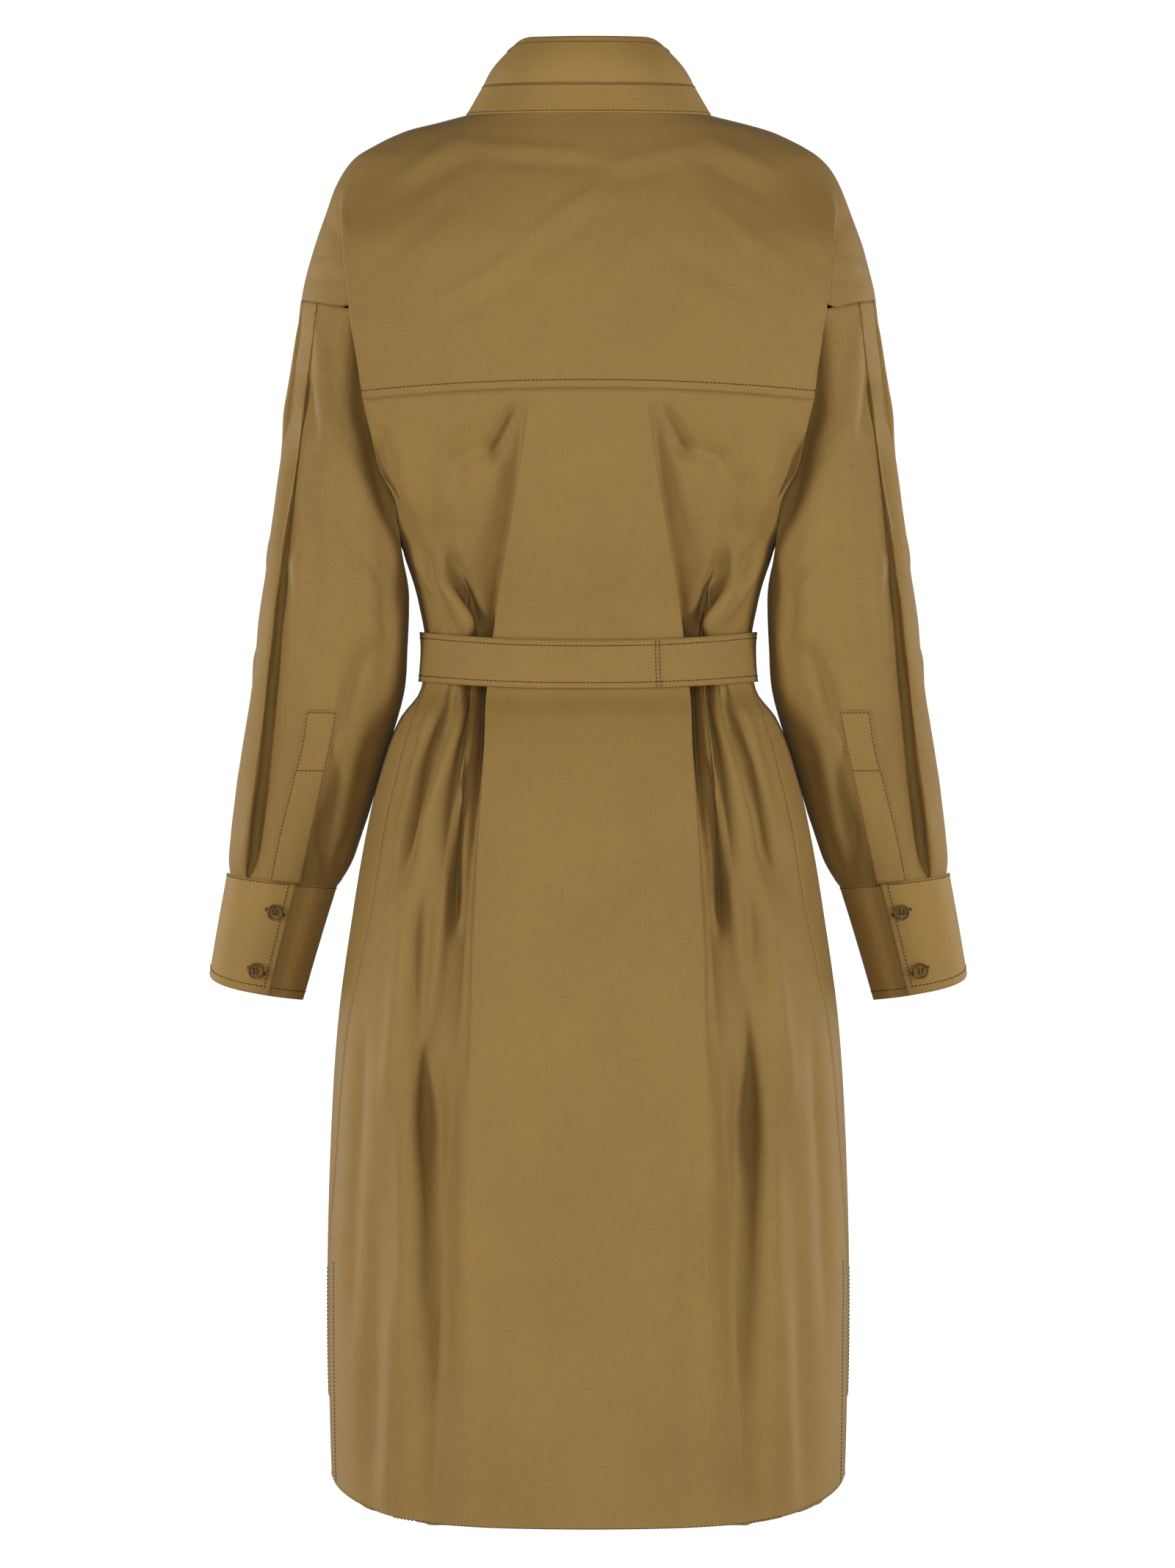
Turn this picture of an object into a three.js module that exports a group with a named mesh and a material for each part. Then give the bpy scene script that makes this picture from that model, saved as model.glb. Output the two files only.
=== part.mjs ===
// A belted shirt dress in cotton poplin, worn and filled out, with no wearer inside.
// Millimetres. +Z is up, the back of the dress faces +Y and the wearer's right is +X.
// The origin is the centre of the neck opening, level with the neck seam at centre back.
import * as THREE from "three";

// Driving sizes
const CLOTH = 1.2; // thickness of a single cloth wall
const FUSED = 1.6; // thickness of an interlined wall: collar, stand, cuffs, plackets and belt
const SEAM = 0.3; // gap left between two pieces at a seam
const LAY = 0.4; // gap between a piece and the panel that it lies on
const BELT_HEIGHT = 38;
const BUTTON_RADIUS = 6.2;
const BUTTON_DEPTH = 2.6;
const PLACKET_WIDTH = 30; // front button band
const YOKE_SEAM_Z = -217; // yoke seam at centre back
const YOKE_SEAM_DROP = 9; // how far the yoke seam falls towards the armholes
const SLEEVE_SEAM_Z = -146; // dropped shoulder seam, at its highest
const UNDERARM_Z = -336;
const SLIT_Z = -904; // top of the side slits
const BELT_TOP_Z = -415;
const BELT_SIDE_RISE = 7; // the belt's ends ride up towards the side seams
const BACK_HEM_Z = -1110;
const FRONT_HEM_Z = -1046;
const HEM_CORNER_DROP = 48; // the shirt-tail hem falls this far from side to centre
const CUFF_OVERLAP_ANGLE = 107; // where the cuff's upper layer ends
const CUFF_UNDERLAP = 30; // degrees that the under layer runs on below it
const BELT_TAIL_LENGTHS = [330, 300];

// Horizontal sections of the body. width is half of the whole, back and front are depths
// from the origin's plane, round is the exponent of the section's superellipse.
const BODY = [
  { z: 0, width: 97, back: 60, front: 78, dip: 62, round: 2.0 },
  { z: -5, width: 117, back: 63, front: 84, dip: 64, round: 1.75 },
  { z: -12, width: 143, back: 67, front: 90, dip: 66, round: 1.6 },
  { z: -23, width: 167, back: 72, front: 97, dip: 65, round: 1.6 },
  { z: -34, width: 184, back: 76, front: 102, dip: 62, round: 1.7 },
  { z: -52, width: 197, back: 82, front: 108, dip: 54, round: 1.8 },
  { z: -77, width: 207, back: 88, front: 113, dip: 42, round: 1.9 },
  { z: -111, width: 219, back: 93, front: 119, dip: 24, round: 2.0 },
  { z: -146, width: 227, back: 96, front: 124, dip: 8, round: 2.1 },
  { z: -190, width: 230, back: 97, front: 128, dip: 0, round: 2.2 },
  { z: -260, width: 200, back: 95, front: 128, dip: 0, round: 2.3 },
  { z: -336, width: 150, back: 88, front: 120, dip: 0, round: 2.3 },
  { z: -352, width: 144, back: 85, front: 116, dip: 0, round: 2.3 },
  { z: -373, width: 137, back: 80, front: 109, dip: 0, round: 2.3 },
  { z: -390, width: 133, back: 75, front: 102, dip: 0, round: 2.3 },
  { z: -412, width: 129, back: 70, front: 97, dip: 0, round: 2.3 },
  { z: -434, width: 129.5, back: 70.5, front: 97, dip: 0, round: 2.3 },
  { z: -456, width: 132, back: 72.5, front: 98.5, dip: 0, round: 2.3 },
  { z: -475, width: 143, back: 87, front: 106, dip: 0, round: 2.3 },
  { z: -505, width: 155, back: 100, front: 114, dip: 0, round: 2.3 },
  { z: -560, width: 172, back: 113, front: 124, dip: 0, round: 2.3 },
  { z: -630, width: 186, back: 124, front: 132, dip: 0, round: 2.3 },
  { z: -720, width: 198, back: 132, front: 136, dip: 0, round: 2.3 },
  { z: -840, width: 204.5, back: 138, front: 138, dip: 0, round: 2.3 },
  { z: -960, width: 206, back: 142, front: 139, dip: 0, round: 2.3 },
  { z: -1120, width: 202, back: 144, front: 139, dip: 0, round: 2.3 },
];

// Where the back panel turns over the sleeves, down to the underarm: the turned edge,
// how far under it the armhole seam lies, and how far the edge stands proud.
const ARMHOLE_FOLD = [
  { z: -40, edge: 180, edgeBack: 46, under: 0, depth: 0 },
  { z: -61, edge: 193, edgeBack: 48, under: 2, depth: 4 },
  { z: -97, edge: 193, edgeBack: 62, under: 6, depth: 10 },
  { z: -156, edge: 187, edgeBack: 74, under: 9, depth: 17 },
  { z: -220, edge: 176, edgeBack: 76, under: 12, depth: 23 },
  { z: -268, edge: 166, edgeBack: 72, under: 13, depth: 30 },
  { z: -315, edge: 155, edgeBack: 66, under: 9, depth: 40 },
  { z: -336, edge: 150, edgeBack: 60, under: 4, depth: 44 },
];

// The folds of the back panel on each side of the centre. at is the distance from the
// centre line, rise is the step up (+) or down (-) going outwards, half is half of the
// step's width and over is how far the upper layer hangs over the lower one.
const CENTRE_PLEAT = [
  { z: -210, at: 46, rise: -1, half: 6, over: 0 },
  { z: -258, at: 51, rise: -7, half: 5, over: 3 },
  { z: -306, at: 57, rise: -10, half: 4, over: 5 },
  { z: -353, at: 65, rise: -11, half: 4, over: 6 },
  { z: -412, at: 74, rise: -8, half: 4, over: 5 },
  { z: -454, at: 78, rise: -9, half: 4, over: 5 },
  { z: -503, at: 80, rise: -16, half: 4, over: 5 },
  { z: -575, at: 84, rise: -16, half: 5, over: 5 },
  { z: -650, at: 88, rise: -11, half: 7, over: 4 },
  { z: -720, at: 92, rise: -9, half: 9, over: 2 },
  { z: -810, at: 97, rise: -7, half: 13, over: 0 },
  { z: -905, at: 101, rise: -4, half: 17, over: 0 },
  { z: -1120, at: 106, rise: -2, half: 18, over: 0 },
];
const INNER_TUCK = [
  { z: -210, at: 66, rise: 0, half: 9, over: 0 },
  { z: -300, at: 88, rise: 1, half: 9, over: 0 },
  { z: -353, at: 104, rise: 3, half: 7, over: 0 },
  { z: -384, at: 98, rise: 6, half: 5, over: 1 },
  { z: -412, at: 90, rise: 8, half: 4, over: 3 },
  { z: -454, at: 86, rise: 9, half: 4, over: 3 },
  { z: -503, at: 93, rise: 14, half: 5, over: 2 },
  { z: -560, at: 100, rise: 13, half: 7, over: 0 },
  { z: -650, at: 112, rise: 7, half: 11, over: 0 },
  { z: -810, at: 130, rise: 7, half: 14, over: 0 },
  { z: -905, at: 131, rise: 5, half: 14, over: 0 },
  { z: -1120, at: 134, rise: 2, half: 14, over: 0 },
];
const OUTER_TUCK = [
  { z: -210, at: 110, rise: 0, half: 8, over: 0 },
  { z: -353, at: 122, rise: 1, half: 6, over: 0 },
  { z: -384, at: 115, rise: 4, half: 5, over: 0 },
  { z: -412, at: 105, rise: 1, half: 4, over: 0 },
  { z: -454, at: 103, rise: -4, half: 4, over: 0 },
  { z: -503, at: 117, rise: -6, half: 7, over: 0 },
  { z: -560, at: 128, rise: -4, half: 10, over: 0 },
  { z: -650, at: 150, rise: -2, half: 12, over: 0 },
  { z: -810, at: 168, rise: -2, half: 12, over: 0 },
  { z: -1120, at: 170, rise: -1, half: 12, over: 0 },
];

// The side seam's distance from the centre line, seen from the back.
const SIDE_SEAM = [
  { z: -336, at: 149 },
  { z: -352, at: 142.5 },
  { z: -373, at: 135 },
  { z: -390, at: 131 },
  { z: -412, at: 127 },
  { z: -450, at: 129 },
  { z: -505, at: 142 },
  { z: -560, at: 158 },
  { z: -617, at: 169 },
  { z: -720, at: 189 },
  { z: -836, at: 199.5 },
  { z: -904, at: 205 },
  { z: -1120, at: 201.5 },
];

// Sections of a sleeve below the underarm: inner and outer edge seen from the back,
// half depth, and how far its centre lies forward.
const SLEEVE = [
  { z: -400, inner: 141.5, outer: 260, depth: 62, forward: 4 },
  { z: -447, inner: 144.5, outer: 265, depth: 61, forward: 9 },
  { z: -480, inner: 152, outer: 269, depth: 59, forward: 13 },
  { z: -535, inner: 169, outer: 276, depth: 53, forward: 20 },
  { z: -575, inner: 184, outer: 281, depth: 47, forward: 26 },
  { z: -605, inner: 199, outer: 286, depth: 40, forward: 30 },
];
// The front armhole's distance from the centre line.
const FRONT_ARMHOLE = [
  { z: -146, at: 210 },
  { z: -190, at: 193 },
  { z: -240, at: 177 },
  { z: -290, at: 163 },
  { z: -344, at: 147 },
];
// The sleeve's two cuff pleats, as one raised fold: its edges by height, seen from the back.
const SLEEVE_FOLD = [
  { z: -250, inner: 229, outer: 240, rise: 0 },
  { z: -363, inner: 242, outer: 255, rise: 2 },
  { z: -431, inner: 249, outer: 260, rise: 4 },
  { z: -512, inner: 257, outer: 270, rise: 6 },
  { z: -575, inner: 267, outer: 279, rise: 6 },
  { z: -605, inner: 270, outer: 283, rise: 5 },
];
const CUFF = { seamOuterZ: -598, seamInnerZ: -609, hemOuterZ: -677, hemInnerZ: -699 };
const CUFF_HEM = { inner: 226, outer: 300, depth: 36, forward: 36 };

const CLOTH_MATERIAL = new THREE.MeshStandardMaterial({ color: 0x97794a, roughness: 0.85, metalness: 0 });
const BUTTON_MATERIAL = new THREE.MeshStandardMaterial({ color: 0x6b4a1f, roughness: 0.35, metalness: 0 });

// A value of a table's column at a height, on a smooth curve through its rows, which go down.
function look(table, column, height) {
  const i = table.findIndex((row) => row.z <= height);
  if (i === -1) return table[table.length - 1][column];
  if (i === 0) return table[0][column];
  const [a, b] = [table[i - 1], table[i]];
  const before = table[Math.max(i - 2, 0)];
  const after = table[Math.min(i + 1, table.length - 1)];
  const span = b.z - a.z;
  const t = (height - a.z) / span;
  const slopeA = ((b[column] - before[column]) / (b.z - before.z)) * span;
  const slopeB = ((after[column] - a[column]) / (after.z - a.z)) * span;
  const t2 = t * t;
  const t3 = t2 * t;
  return (
    (2 * t3 - 3 * t2 + 1) * a[column] +
    (t3 - 2 * t2 + t) * slopeA +
    (3 * t2 - 2 * t3) * b[column] +
    (t3 - t2) * slopeB
  );
}

const lerp = (a, b, t) => a + (b - a) * t;
const smooth = (t) => t * t * (3 - 2 * t);
const clamp01 = (t) => Math.min(1, Math.max(0, t));
const radians = (degrees) => (degrees * Math.PI) / 180;
const steps = (from, to, count) => Array.from({ length: count + 1 }, (_, i) => lerp(from, to, i / count));

// A cloth wall on a grid of outer points: the inner points lie one thickness behind them,
// and the wall is closed along every edge of the cells that are kept.
function wall(grid, thickness, { keep = () => true, closed = false, lift = 0 } = {}) {
  const rows = grid.length;
  const columns = grid[0].length;
  const column = (j) => (closed ? (j + columns) % columns : Math.min(Math.max(j, 0), columns - 1));
  const normals = grid.map((row, i) =>
    row.map((_, j) => {
      const down = grid[Math.min(i + 1, rows - 1)][j].clone().sub(grid[Math.max(i - 1, 0)][j]);
      const across = grid[i][column(j + 1)].clone().sub(grid[i][column(j - 1)]);
      return down.cross(across).normalize();
    }),
  );
  const shift = (amount) => grid.map((row, i) => row.map((p, j) => p.clone().addScaledVector(normals[i][j], amount)));
  const layers = [shift(lift), shift(lift - thickness)];
  const cells = closed ? columns : columns - 1;
  const kept = (i, j) => {
    if (i < 0 || i >= rows - 1) return false;
    if (!closed && (j < 0 || j >= cells)) return false;
    return keep(i, (j + cells) % cells);
  };
  const position = [];
  const quad = (a, b, c, d) => {
    for (const p of [a, b, c, a, c, d]) position.push(p.x, p.y, p.z);
  };
  const [outer, inner] = layers;
  for (let i = 0; i < rows - 1; i++) {
    for (let j = 0; j < cells; j++) {
      if (!kept(i, j)) continue;
      const k = column(j + 1);
      quad(outer[i][j], outer[i + 1][j], outer[i + 1][k], outer[i][k]);
      quad(inner[i][j], inner[i][k], inner[i + 1][k], inner[i + 1][j]);
      if (!kept(i - 1, j)) quad(outer[i][j], outer[i][k], inner[i][k], inner[i][j]);
      if (!kept(i + 1, j)) quad(outer[i + 1][k], outer[i + 1][j], inner[i + 1][j], inner[i + 1][k]);
      if (!kept(i, j - 1)) quad(outer[i + 1][j], outer[i][j], inner[i][j], inner[i + 1][j]);
      if (!kept(i, j + 1)) quad(outer[i][k], outer[i + 1][k], inner[i + 1][k], inner[i][k]);
    }
  }
  return new THREE.BufferGeometry().setAttribute("position", new THREE.Float32BufferAttribute(position, 3));
}

const dress = new THREE.Group();
function add(name, geometry, material = CLOTH_MATERIAL) {
  const mesh = new THREE.Mesh(geometry, material);
  mesh.name = name;
  dress.add(mesh);
}

// The body's section at a height: angle 0 is centre back, 90 the side and 180 centre front.
function section(z, angle) {
  const round = look(BODY, "round", z);
  const [s, c] = [Math.sin(radians(angle)), Math.cos(radians(angle))];
  const depth = c >= 0 ? look(BODY, "back", z) : look(BODY, "front", z);
  const x = look(BODY, "width", z) * Math.sign(s) * Math.abs(s) ** (2 / round);
  const y = depth * Math.sign(c) * Math.abs(c) ** (2 / round);
  const forward = clamp01(-y / look(BODY, "front", z));
  return new THREE.Vector3(x, y, z - look(BODY, "dip", z) * forward ** 1.5);
}

// The angle at which the section reaches a distance from the centre line, on its back.
function angleAt(z, x) {
  const part = clamp01(Math.abs(x) / look(BODY, "width", z));
  return (Math.asin(part ** (look(BODY, "round", z) / 2)) * 180) / Math.PI;
}

const FOLD_STEPS = [0, 0.25, 0.5, 0.75, 1];
const FULL_TURN_OVER = 2; // a fold with this much overhang turns back fully; less is a soft slope
const FOLD_GAP = 1.5; // flat cloth that is left between two folds, at least
const BACK_FOLDS = [CENTRE_PLEAT, INNER_TUCK, OUTER_TUCK];

// Distances outwards and heights across one fold's step, between the cloth before it and the edge.
function foldAcross(fold, z, before, edge) {
  const at = look(fold, "at", z);
  const half = look(fold, "half", z);
  const over = look(fold, "over", z);
  const end = Math.min(at + half, edge - FOLD_GAP);
  const start = Math.min(Math.max(at - half, before + FOLD_GAP), end - FOLD_GAP);
  const turn = clamp01(over / FULL_TURN_OVER) * (half + over) * 0.5;
  return FOLD_STEPS.map((t) => ({
    x: lerp(start, end, t) + turn * Math.sin(2 * Math.PI * t),
    height: look(fold, "rise", z) * smooth(t),
  }));
}

// One side of the back panel at a height, from the centre line outwards: distance and height.
function backFlat(z, edge) {
  const samples = [{ x: 0, height: 0 }];
  for (const fold of BACK_FOLDS) {
    const { x: before, height } = samples[samples.length - 1];
    const across = foldAcross(fold, z, before, edge);
    const count = fold === CENTRE_PLEAT ? 3 : 2;
    steps(before, across[0].x, count).slice(1, -1).forEach((x) => samples.push({ x, height }));
    across.forEach(({ x, height: rise }) => samples.push({ x, height: height + rise }));
  }
  const { x: before, height } = samples[samples.length - 1];
  steps(before, edge, 3).slice(1).forEach((x) => samples.push({ x, height }));
  return samples;
}

// The back panel's plan curve inside the armhole fold, and the fold itself.
function foldPoint(z) {
  return {
    edge: new THREE.Vector3(look(ARMHOLE_FOLD, "edge", z), look(ARMHOLE_FOLD, "edgeBack", z), z),
    seam: new THREE.Vector3(
      look(ARMHOLE_FOLD, "edge", z) - look(ARMHOLE_FOLD, "under", z),
      look(ARMHOLE_FOLD, "edgeBack", z) - look(ARMHOLE_FOLD, "depth", z),
      z,
    ),
  };
}
const BACK_FLATNESS = 3.2;
function backDepth(z, x, edge) {
  const back = look(BODY, "back", z);
  return back - (back - edge.y) * clamp01(Math.abs(x) / edge.x) ** BACK_FLATNESS;
}
const FOLD_BULGE = 2; // the turned edge swells this far past its line
function turnUnder(z, count) {
  const { edge, seam } = foldPoint(z);
  const bulge = new THREE.Vector3(edge.x + FOLD_BULGE, lerp(edge.y, seam.y, 0.45), z);
  return steps(0, 1, count).slice(1).map((t) => {
    const a = edge.clone().lerp(bulge, t);
    return a.lerp(bulge.clone().lerp(seam, t), t);
  });
}

// Both sides of a row, from the wearer's right round to the left.
const mirrored = (half) => [
  ...half.slice(1).reverse().map((p) => new THREE.Vector3(p.x, p.y, p.z)),
  ...half.map((p) => new THREE.Vector3(-p.x, p.y, p.z)),
];

const TURN_COLUMNS = 4;
const BODICE_BLEND_Z = -285; // from here down to the underarm the turned edge opens into the side
const SEAM_FADE = 40; // the folds start flat at the yoke seam and reach full height this far below
const FLAT_PART = 0.9; // the share of a level's width that the folded columns take

function backHalf(z, edgeX) {
  const below = backBelowArmhole(z, edgeX);
  if (z < UNDERARM_Z) return below;
  const { edge } = foldPoint(z);
  const fade = smooth(clamp01((YOKE_SEAM_Z - z) / SEAM_FADE));
  const flat = backFlat(z, edge.x).map(({ x, height }) => {
    return new THREE.Vector3(x, backDepth(z, x, edge) + height * fade, z);
  });
  const blend = smooth(clamp01((BODICE_BLEND_Z - z) / (BODICE_BLEND_Z - UNDERARM_Z)));
  return [...flat, ...turnUnder(z, TURN_COLUMNS)].map((p, j) => p.lerp(below[j], blend));
}

function backBelowArmhole(z, edgeX) {
  const last = edgeX * FLAT_PART;
  const fade = (x) => 1 - smooth(clamp01((x - last * 0.8) / (edgeX - last * 0.8)));
  const flat = backFlat(z, last).map(({ x, height }) => {
    const p = section(z, angleAt(z, x));
    return new THREE.Vector3(x, p.y + height * fade(x), z);
  });
  const rest = steps(last, edgeX, TURN_COLUMNS).slice(1).map((x) => section(z, angleAt(z, x)));
  return [...flat, ...rest];
}

// Height of the hem at a distance from the centre line: a shallow curve with round corners.
const HEM_ROUNDNESS = 5;
const HEM_CORNER_PART = 0.85; // the share of the drop that the corners take
const HEM_SAG = 6;
function hemZ(lowest, x) {
  const part = clamp01(Math.abs(x) / look(BODY, "width", lowest));
  const corner = 1 - (1 - part ** HEM_ROUNDNESS) ** 0.5;
  return lowest + HEM_CORNER_DROP * HEM_CORNER_PART * corner + HEM_SAG * part * part;
}

// Below the slits the rows spread out until the last one lies on the hem.
function hang(p, z, lowest) {
  if (z < SLIT_Z) p.z = lerp(p.z, hemZ(lowest, p.x), ((SLIT_Z - z) / (SLIT_Z - lowest)) ** 3);
  return p;
}

// How far the yoke seam has fallen at a distance from the centre line.
const yokeSeamDrop = (x) => YOKE_SEAM_DROP * clamp01(x / foldPoint(YOKE_SEAM_Z).edge.x) ** 2;
const seamSide = (z) => look(SIDE_SEAM, "at", z);

const BODICE_ROWS = 4;
function backPanel() {
  const heights = [
    ...steps(YOKE_SEAM_Z - SEAM, UNDERARM_Z, BODICE_ROWS),
    -352,
    -372,
    -392,
    -412,
    -433,
    -454,
    -478,
    -503,
    -535,
    -575,
    -620,
    -680,
    -760,
    -850,
    -950,
    -1040,
    BACK_HEM_Z,
  ];
  const grid = heights.map((z, i) => {
    const half = backHalf(z, seamSide(z) - SEAM);
    for (const p of half) {
      p.z -= yokeSeamDrop(p.x) * Math.max(0, 1 - i / BODICE_ROWS);
      hang(p, z, BACK_HEM_Z);
    }
    return mirrored(half);
  });
  add("back_panel", wall(grid, CLOTH));
}

// The yoke runs over the shoulders to the forward shoulder seam, and its sides drop
// to the sleeve seams. Below those, only its back is kept, down to the yoke seam.
const FRONT_SEAM_ANGLE = 112;
const FLAT_COLUMNS = 9; // across half of the back, inside the armhole fold
const CAP_COLUMNS = 4;
const FOLD_TOP_Z = ARMHOLE_FOLD[0].z;
const FOLD_GROWTH = 70; // the armhole fold grows out of the shoulder over this height
function yokeHalf(z) {
  const strength = smooth(clamp01((FOLD_TOP_Z - z) / FOLD_GROWTH));
  const { edge, seam } = foldPoint(Math.min(z, FOLD_TOP_Z));
  const edgeAngle = angleAt(z, Math.min(edge.x, look(BODY, "width", z) * 0.93));
  const plain = [
    ...steps(0, edgeAngle, FLAT_COLUMNS).map((a) => section(z, a)),
    ...steps(edgeAngle, 90, TURN_COLUMNS + CAP_COLUMNS).slice(1).map((a) => section(z, a)),
  ];
  const side = section(z, 90);
  const reach = new THREE.Vector3(side.x, lerp(seam.y, side.y, 0.35), z);
  const cap = steps(0, 1, CAP_COLUMNS).slice(1).map((t) => {
    const a = seam.clone().lerp(reach, t);
    return a.lerp(reach.clone().lerp(side, t), t);
  });
  const folded = [
    ...steps(0, edge.x, FLAT_COLUMNS).map((x) => new THREE.Vector3(x, backDepth(z, x, edge), z)),
    ...turnUnder(z, TURN_COLUMNS),
    ...cap,
  ];
  const blended = plain.map((p, j) => p.clone().lerp(folded[j].clone().setZ(z), strength));
  const front = steps(90, FRONT_SEAM_ANGLE, 3).slice(1).map((a) => section(z, a));
  return [...blended, ...front];
}

// The sleeve seam falls a little towards the armhole fold.
const CAP_DROP = 8;
const CAP_DROP_WIDTH = 40;
const capDrop = (x) => CAP_DROP * clamp01((look(BODY, "width", SLEEVE_SEAM_Z) - x) / CAP_DROP_WIDTH);

function yoke() {
  const heights = [-0.5, -5, -12, -23, -34, -52, -77, -111, SLEEVE_SEAM_Z, -180, YOKE_SEAM_Z];
  const seamRow = heights.indexOf(SLEEVE_SEAM_Z);
  const backColumns = FLAT_COLUMNS + TURN_COLUMNS;
  const grid = heights.map((z, i) => {
    const half = yokeHalf(z);
    const rowsLeft = heights.length - 1 - seamRow;
    half.forEach((p, j) => {
      if (i > seamRow) p.z -= yokeSeamDrop(p.x) * ((i - seamRow) / rowsLeft);
      if (i === seamRow && j <= backColumns + CAP_COLUMNS) p.z -= capDrop(p.x);
    });
    return mirrored(half);
  });
  const halfColumns = (grid[0].length - 1) / 2;
  const keep = (i, j) => {
    if (i < seamRow) return true;
    const fromCentre = j < halfColumns ? halfColumns - 1 - j : j - halfColumns;
    return fromCentre < backColumns;
  };
  add("yoke", wall(grid, CLOTH, { keep }));
}

// A front panel from the shoulder seam, armhole and side seam to the button edge.
// The upper layer of the front ends past the centre line, over the lower one.
const FRONT_COLUMNS = 8;
const SHOULDER_SEAM_TURN = 0.35; // degrees between the yoke's front edge and the front panels
const UNDER_EDGE_INSET = 3; // the under layer's edge stays inside the band
const LAP_WIDTH = 12; // the under layer sinks below the band over this width
const LAP_ROOM = 1.2;
function frontRow(z, side, upper) {
  const edgeX = PLACKET_WIDTH / 2 - (upper ? 0 : UNDER_EDGE_INSET);
  let start;
  if (z > SLEEVE_SEAM_Z) start = FRONT_SEAM_ANGLE + SHOULDER_SEAM_TURN;
  else if (z > FRONT_ARMHOLE[FRONT_ARMHOLE.length - 1].z - 2) start = 180 - angleAt(z, look(FRONT_ARMHOLE, "at", z));
  else start = angleAt(z, seamSide(z) + SEAM);
  const edgeAngle = 180 + angleAt(z, edgeX);
  return steps(0, 1, FRONT_COLUMNS).map((t) => {
    const p = section(z, lerp(start, edgeAngle, 1 - (1 - t) ** 1.15));
    const lap = smooth(clamp01(1 - (Math.abs(p.x) - PLACKET_WIDTH / 2) / LAP_WIDTH));
    p.y += upper ? 0 : (CLOTH + LAY + LAP_ROOM) * lap;
    return new THREE.Vector3(side * p.x, p.y, p.z);
  });
}

const FRONT_HEIGHTS = [
  -1,
  -5,
  -12,
  -23,
  -34,
  -52,
  -77,
  -111,
  SLEEVE_SEAM_Z,
  -190,
  -240,
  -290,
  UNDERARM_Z - 8,
  -375,
  -412,
  -454,
  -500,
  -560,
  -640,
  -760,
  -904,
  -980,
  FRONT_HEM_Z,
];
function frontPanel(name, side, upper) {
  const grid = FRONT_HEIGHTS.map((z) => {
    const row = frontRow(z, side, upper).map((p) => hang(p, z, FRONT_HEM_Z));
    return side > 0 ? row.reverse() : row;
  });
  add(name, wall(grid, CLOTH));
}

// A strip that lies on the button edge of the upper front, down to its hem.
const BAND_INSET = 0.5;
function frontPlacket(heights) {
  const grid = heights.map((z) => {
    const reach = angleAt(z, PLACKET_WIDTH / 2 - BAND_INSET);
    return steps(180 + reach, 180 - reach, 4).map((angle) => hang(section(z, angle), z, FRONT_HEM_Z));
  });
  add("front_placket", wall(grid, FUSED, { lift: LAY + FUSED }));
}

// The armhole seam on the body by angle: 0 is outwards, 90 the back, 180 the underarm.
const CAP_END_ANGLE = 75;
const FRONT_CORNER_ANGLE = 300;
const SEAM_TUCK = 2 * SEAM; // the sleeve starts this far below the edge of the shoulder
const BACK_TUCK = { x: 0.6, y: -1.4, z: -3, spread: 4, sink: -6 }; // inside the back's turned edge
const FRONT_TUCK = { x: 1, y: 1.2, spread: 3, sink: 6 }; // behind the front's armhole
function armholePoint(angle) {
  const seamEnd = FLAT_COLUMNS + TURN_COLUMNS;
  if (angle <= CAP_END_ANGLE) {
    const row = yokeHalf(SLEEVE_SEAM_Z).slice(seamEnd, seamEnd + CAP_COLUMNS + 1).reverse();
    const place = (angle / CAP_END_ANGLE) * CAP_COLUMNS;
    const i = Math.min(Math.floor(place), CAP_COLUMNS - 1);
    const p = row[i].clone().lerp(row[i + 1], place - i);
    p.z -= capDrop(p.x) + SEAM_TUCK;
    return p;
  }
  if (angle < 180) {
    const t = (angle - CAP_END_ANGLE) / (180 - CAP_END_ANGLE);
    const p = backHalf(lerp(SLEEVE_SEAM_Z - 14, UNDERARM_Z, t), seamSide(UNDERARM_Z)).pop();
    const { x, y, z, spread, sink } = BACK_TUCK;
    return p.add(new THREE.Vector3(x + spread * t ** 4, y + sink * t ** 4, z * t));
  }
  if (angle < FRONT_CORNER_ANGLE) {
    const t = (angle - 180) / (FRONT_CORNER_ANGLE - 180);
    const z = lerp(UNDERARM_Z - 2, SLEEVE_SEAM_Z - 4, t);
    const p = section(z, 180 - angleAt(z, look(FRONT_ARMHOLE, "at", z)));
    const { x, y, spread, sink } = FRONT_TUCK;
    return p.add(new THREE.Vector3(x + spread * (1 - t) ** 4, y + sink * (1 - t) ** 4, 0));
  }
  const t = (angle - FRONT_CORNER_ANGLE) / (360 - FRONT_CORNER_ANGLE);
  const p = section(SLEEVE_SEAM_Z, lerp(FRONT_SEAM_ANGLE, 90, t));
  return p.add(new THREE.Vector3(0, 0, -SEAM_TUCK));
}

// A level ring of the sleeve, by angle, with the raised fold of its cuff pleats.
function sleeveRing(z, angle, lift = 0) {
  const inner = look(SLEEVE, "inner", z);
  const outer = look(SLEEVE, "outer", z);
  const [s, c] = [Math.sin(radians(angle)), Math.cos(radians(angle))];
  const x = (inner + outer) / 2 + ((outer - inner) / 2 + lift) * c;
  const y = -look(SLEEVE, "forward", z) + (look(SLEEVE, "depth", z) + lift) * s;
  return new THREE.Vector3(x, y, z);
}
function sleeveAngle(z, x) {
  const inner = look(SLEEVE, "inner", z);
  const outer = look(SLEEVE, "outer", z);
  const c = (x - (inner + outer) / 2) / ((outer - inner) / 2);
  return (Math.acos(Math.min(1, Math.max(-1, c))) * 180) / Math.PI;
}

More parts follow.
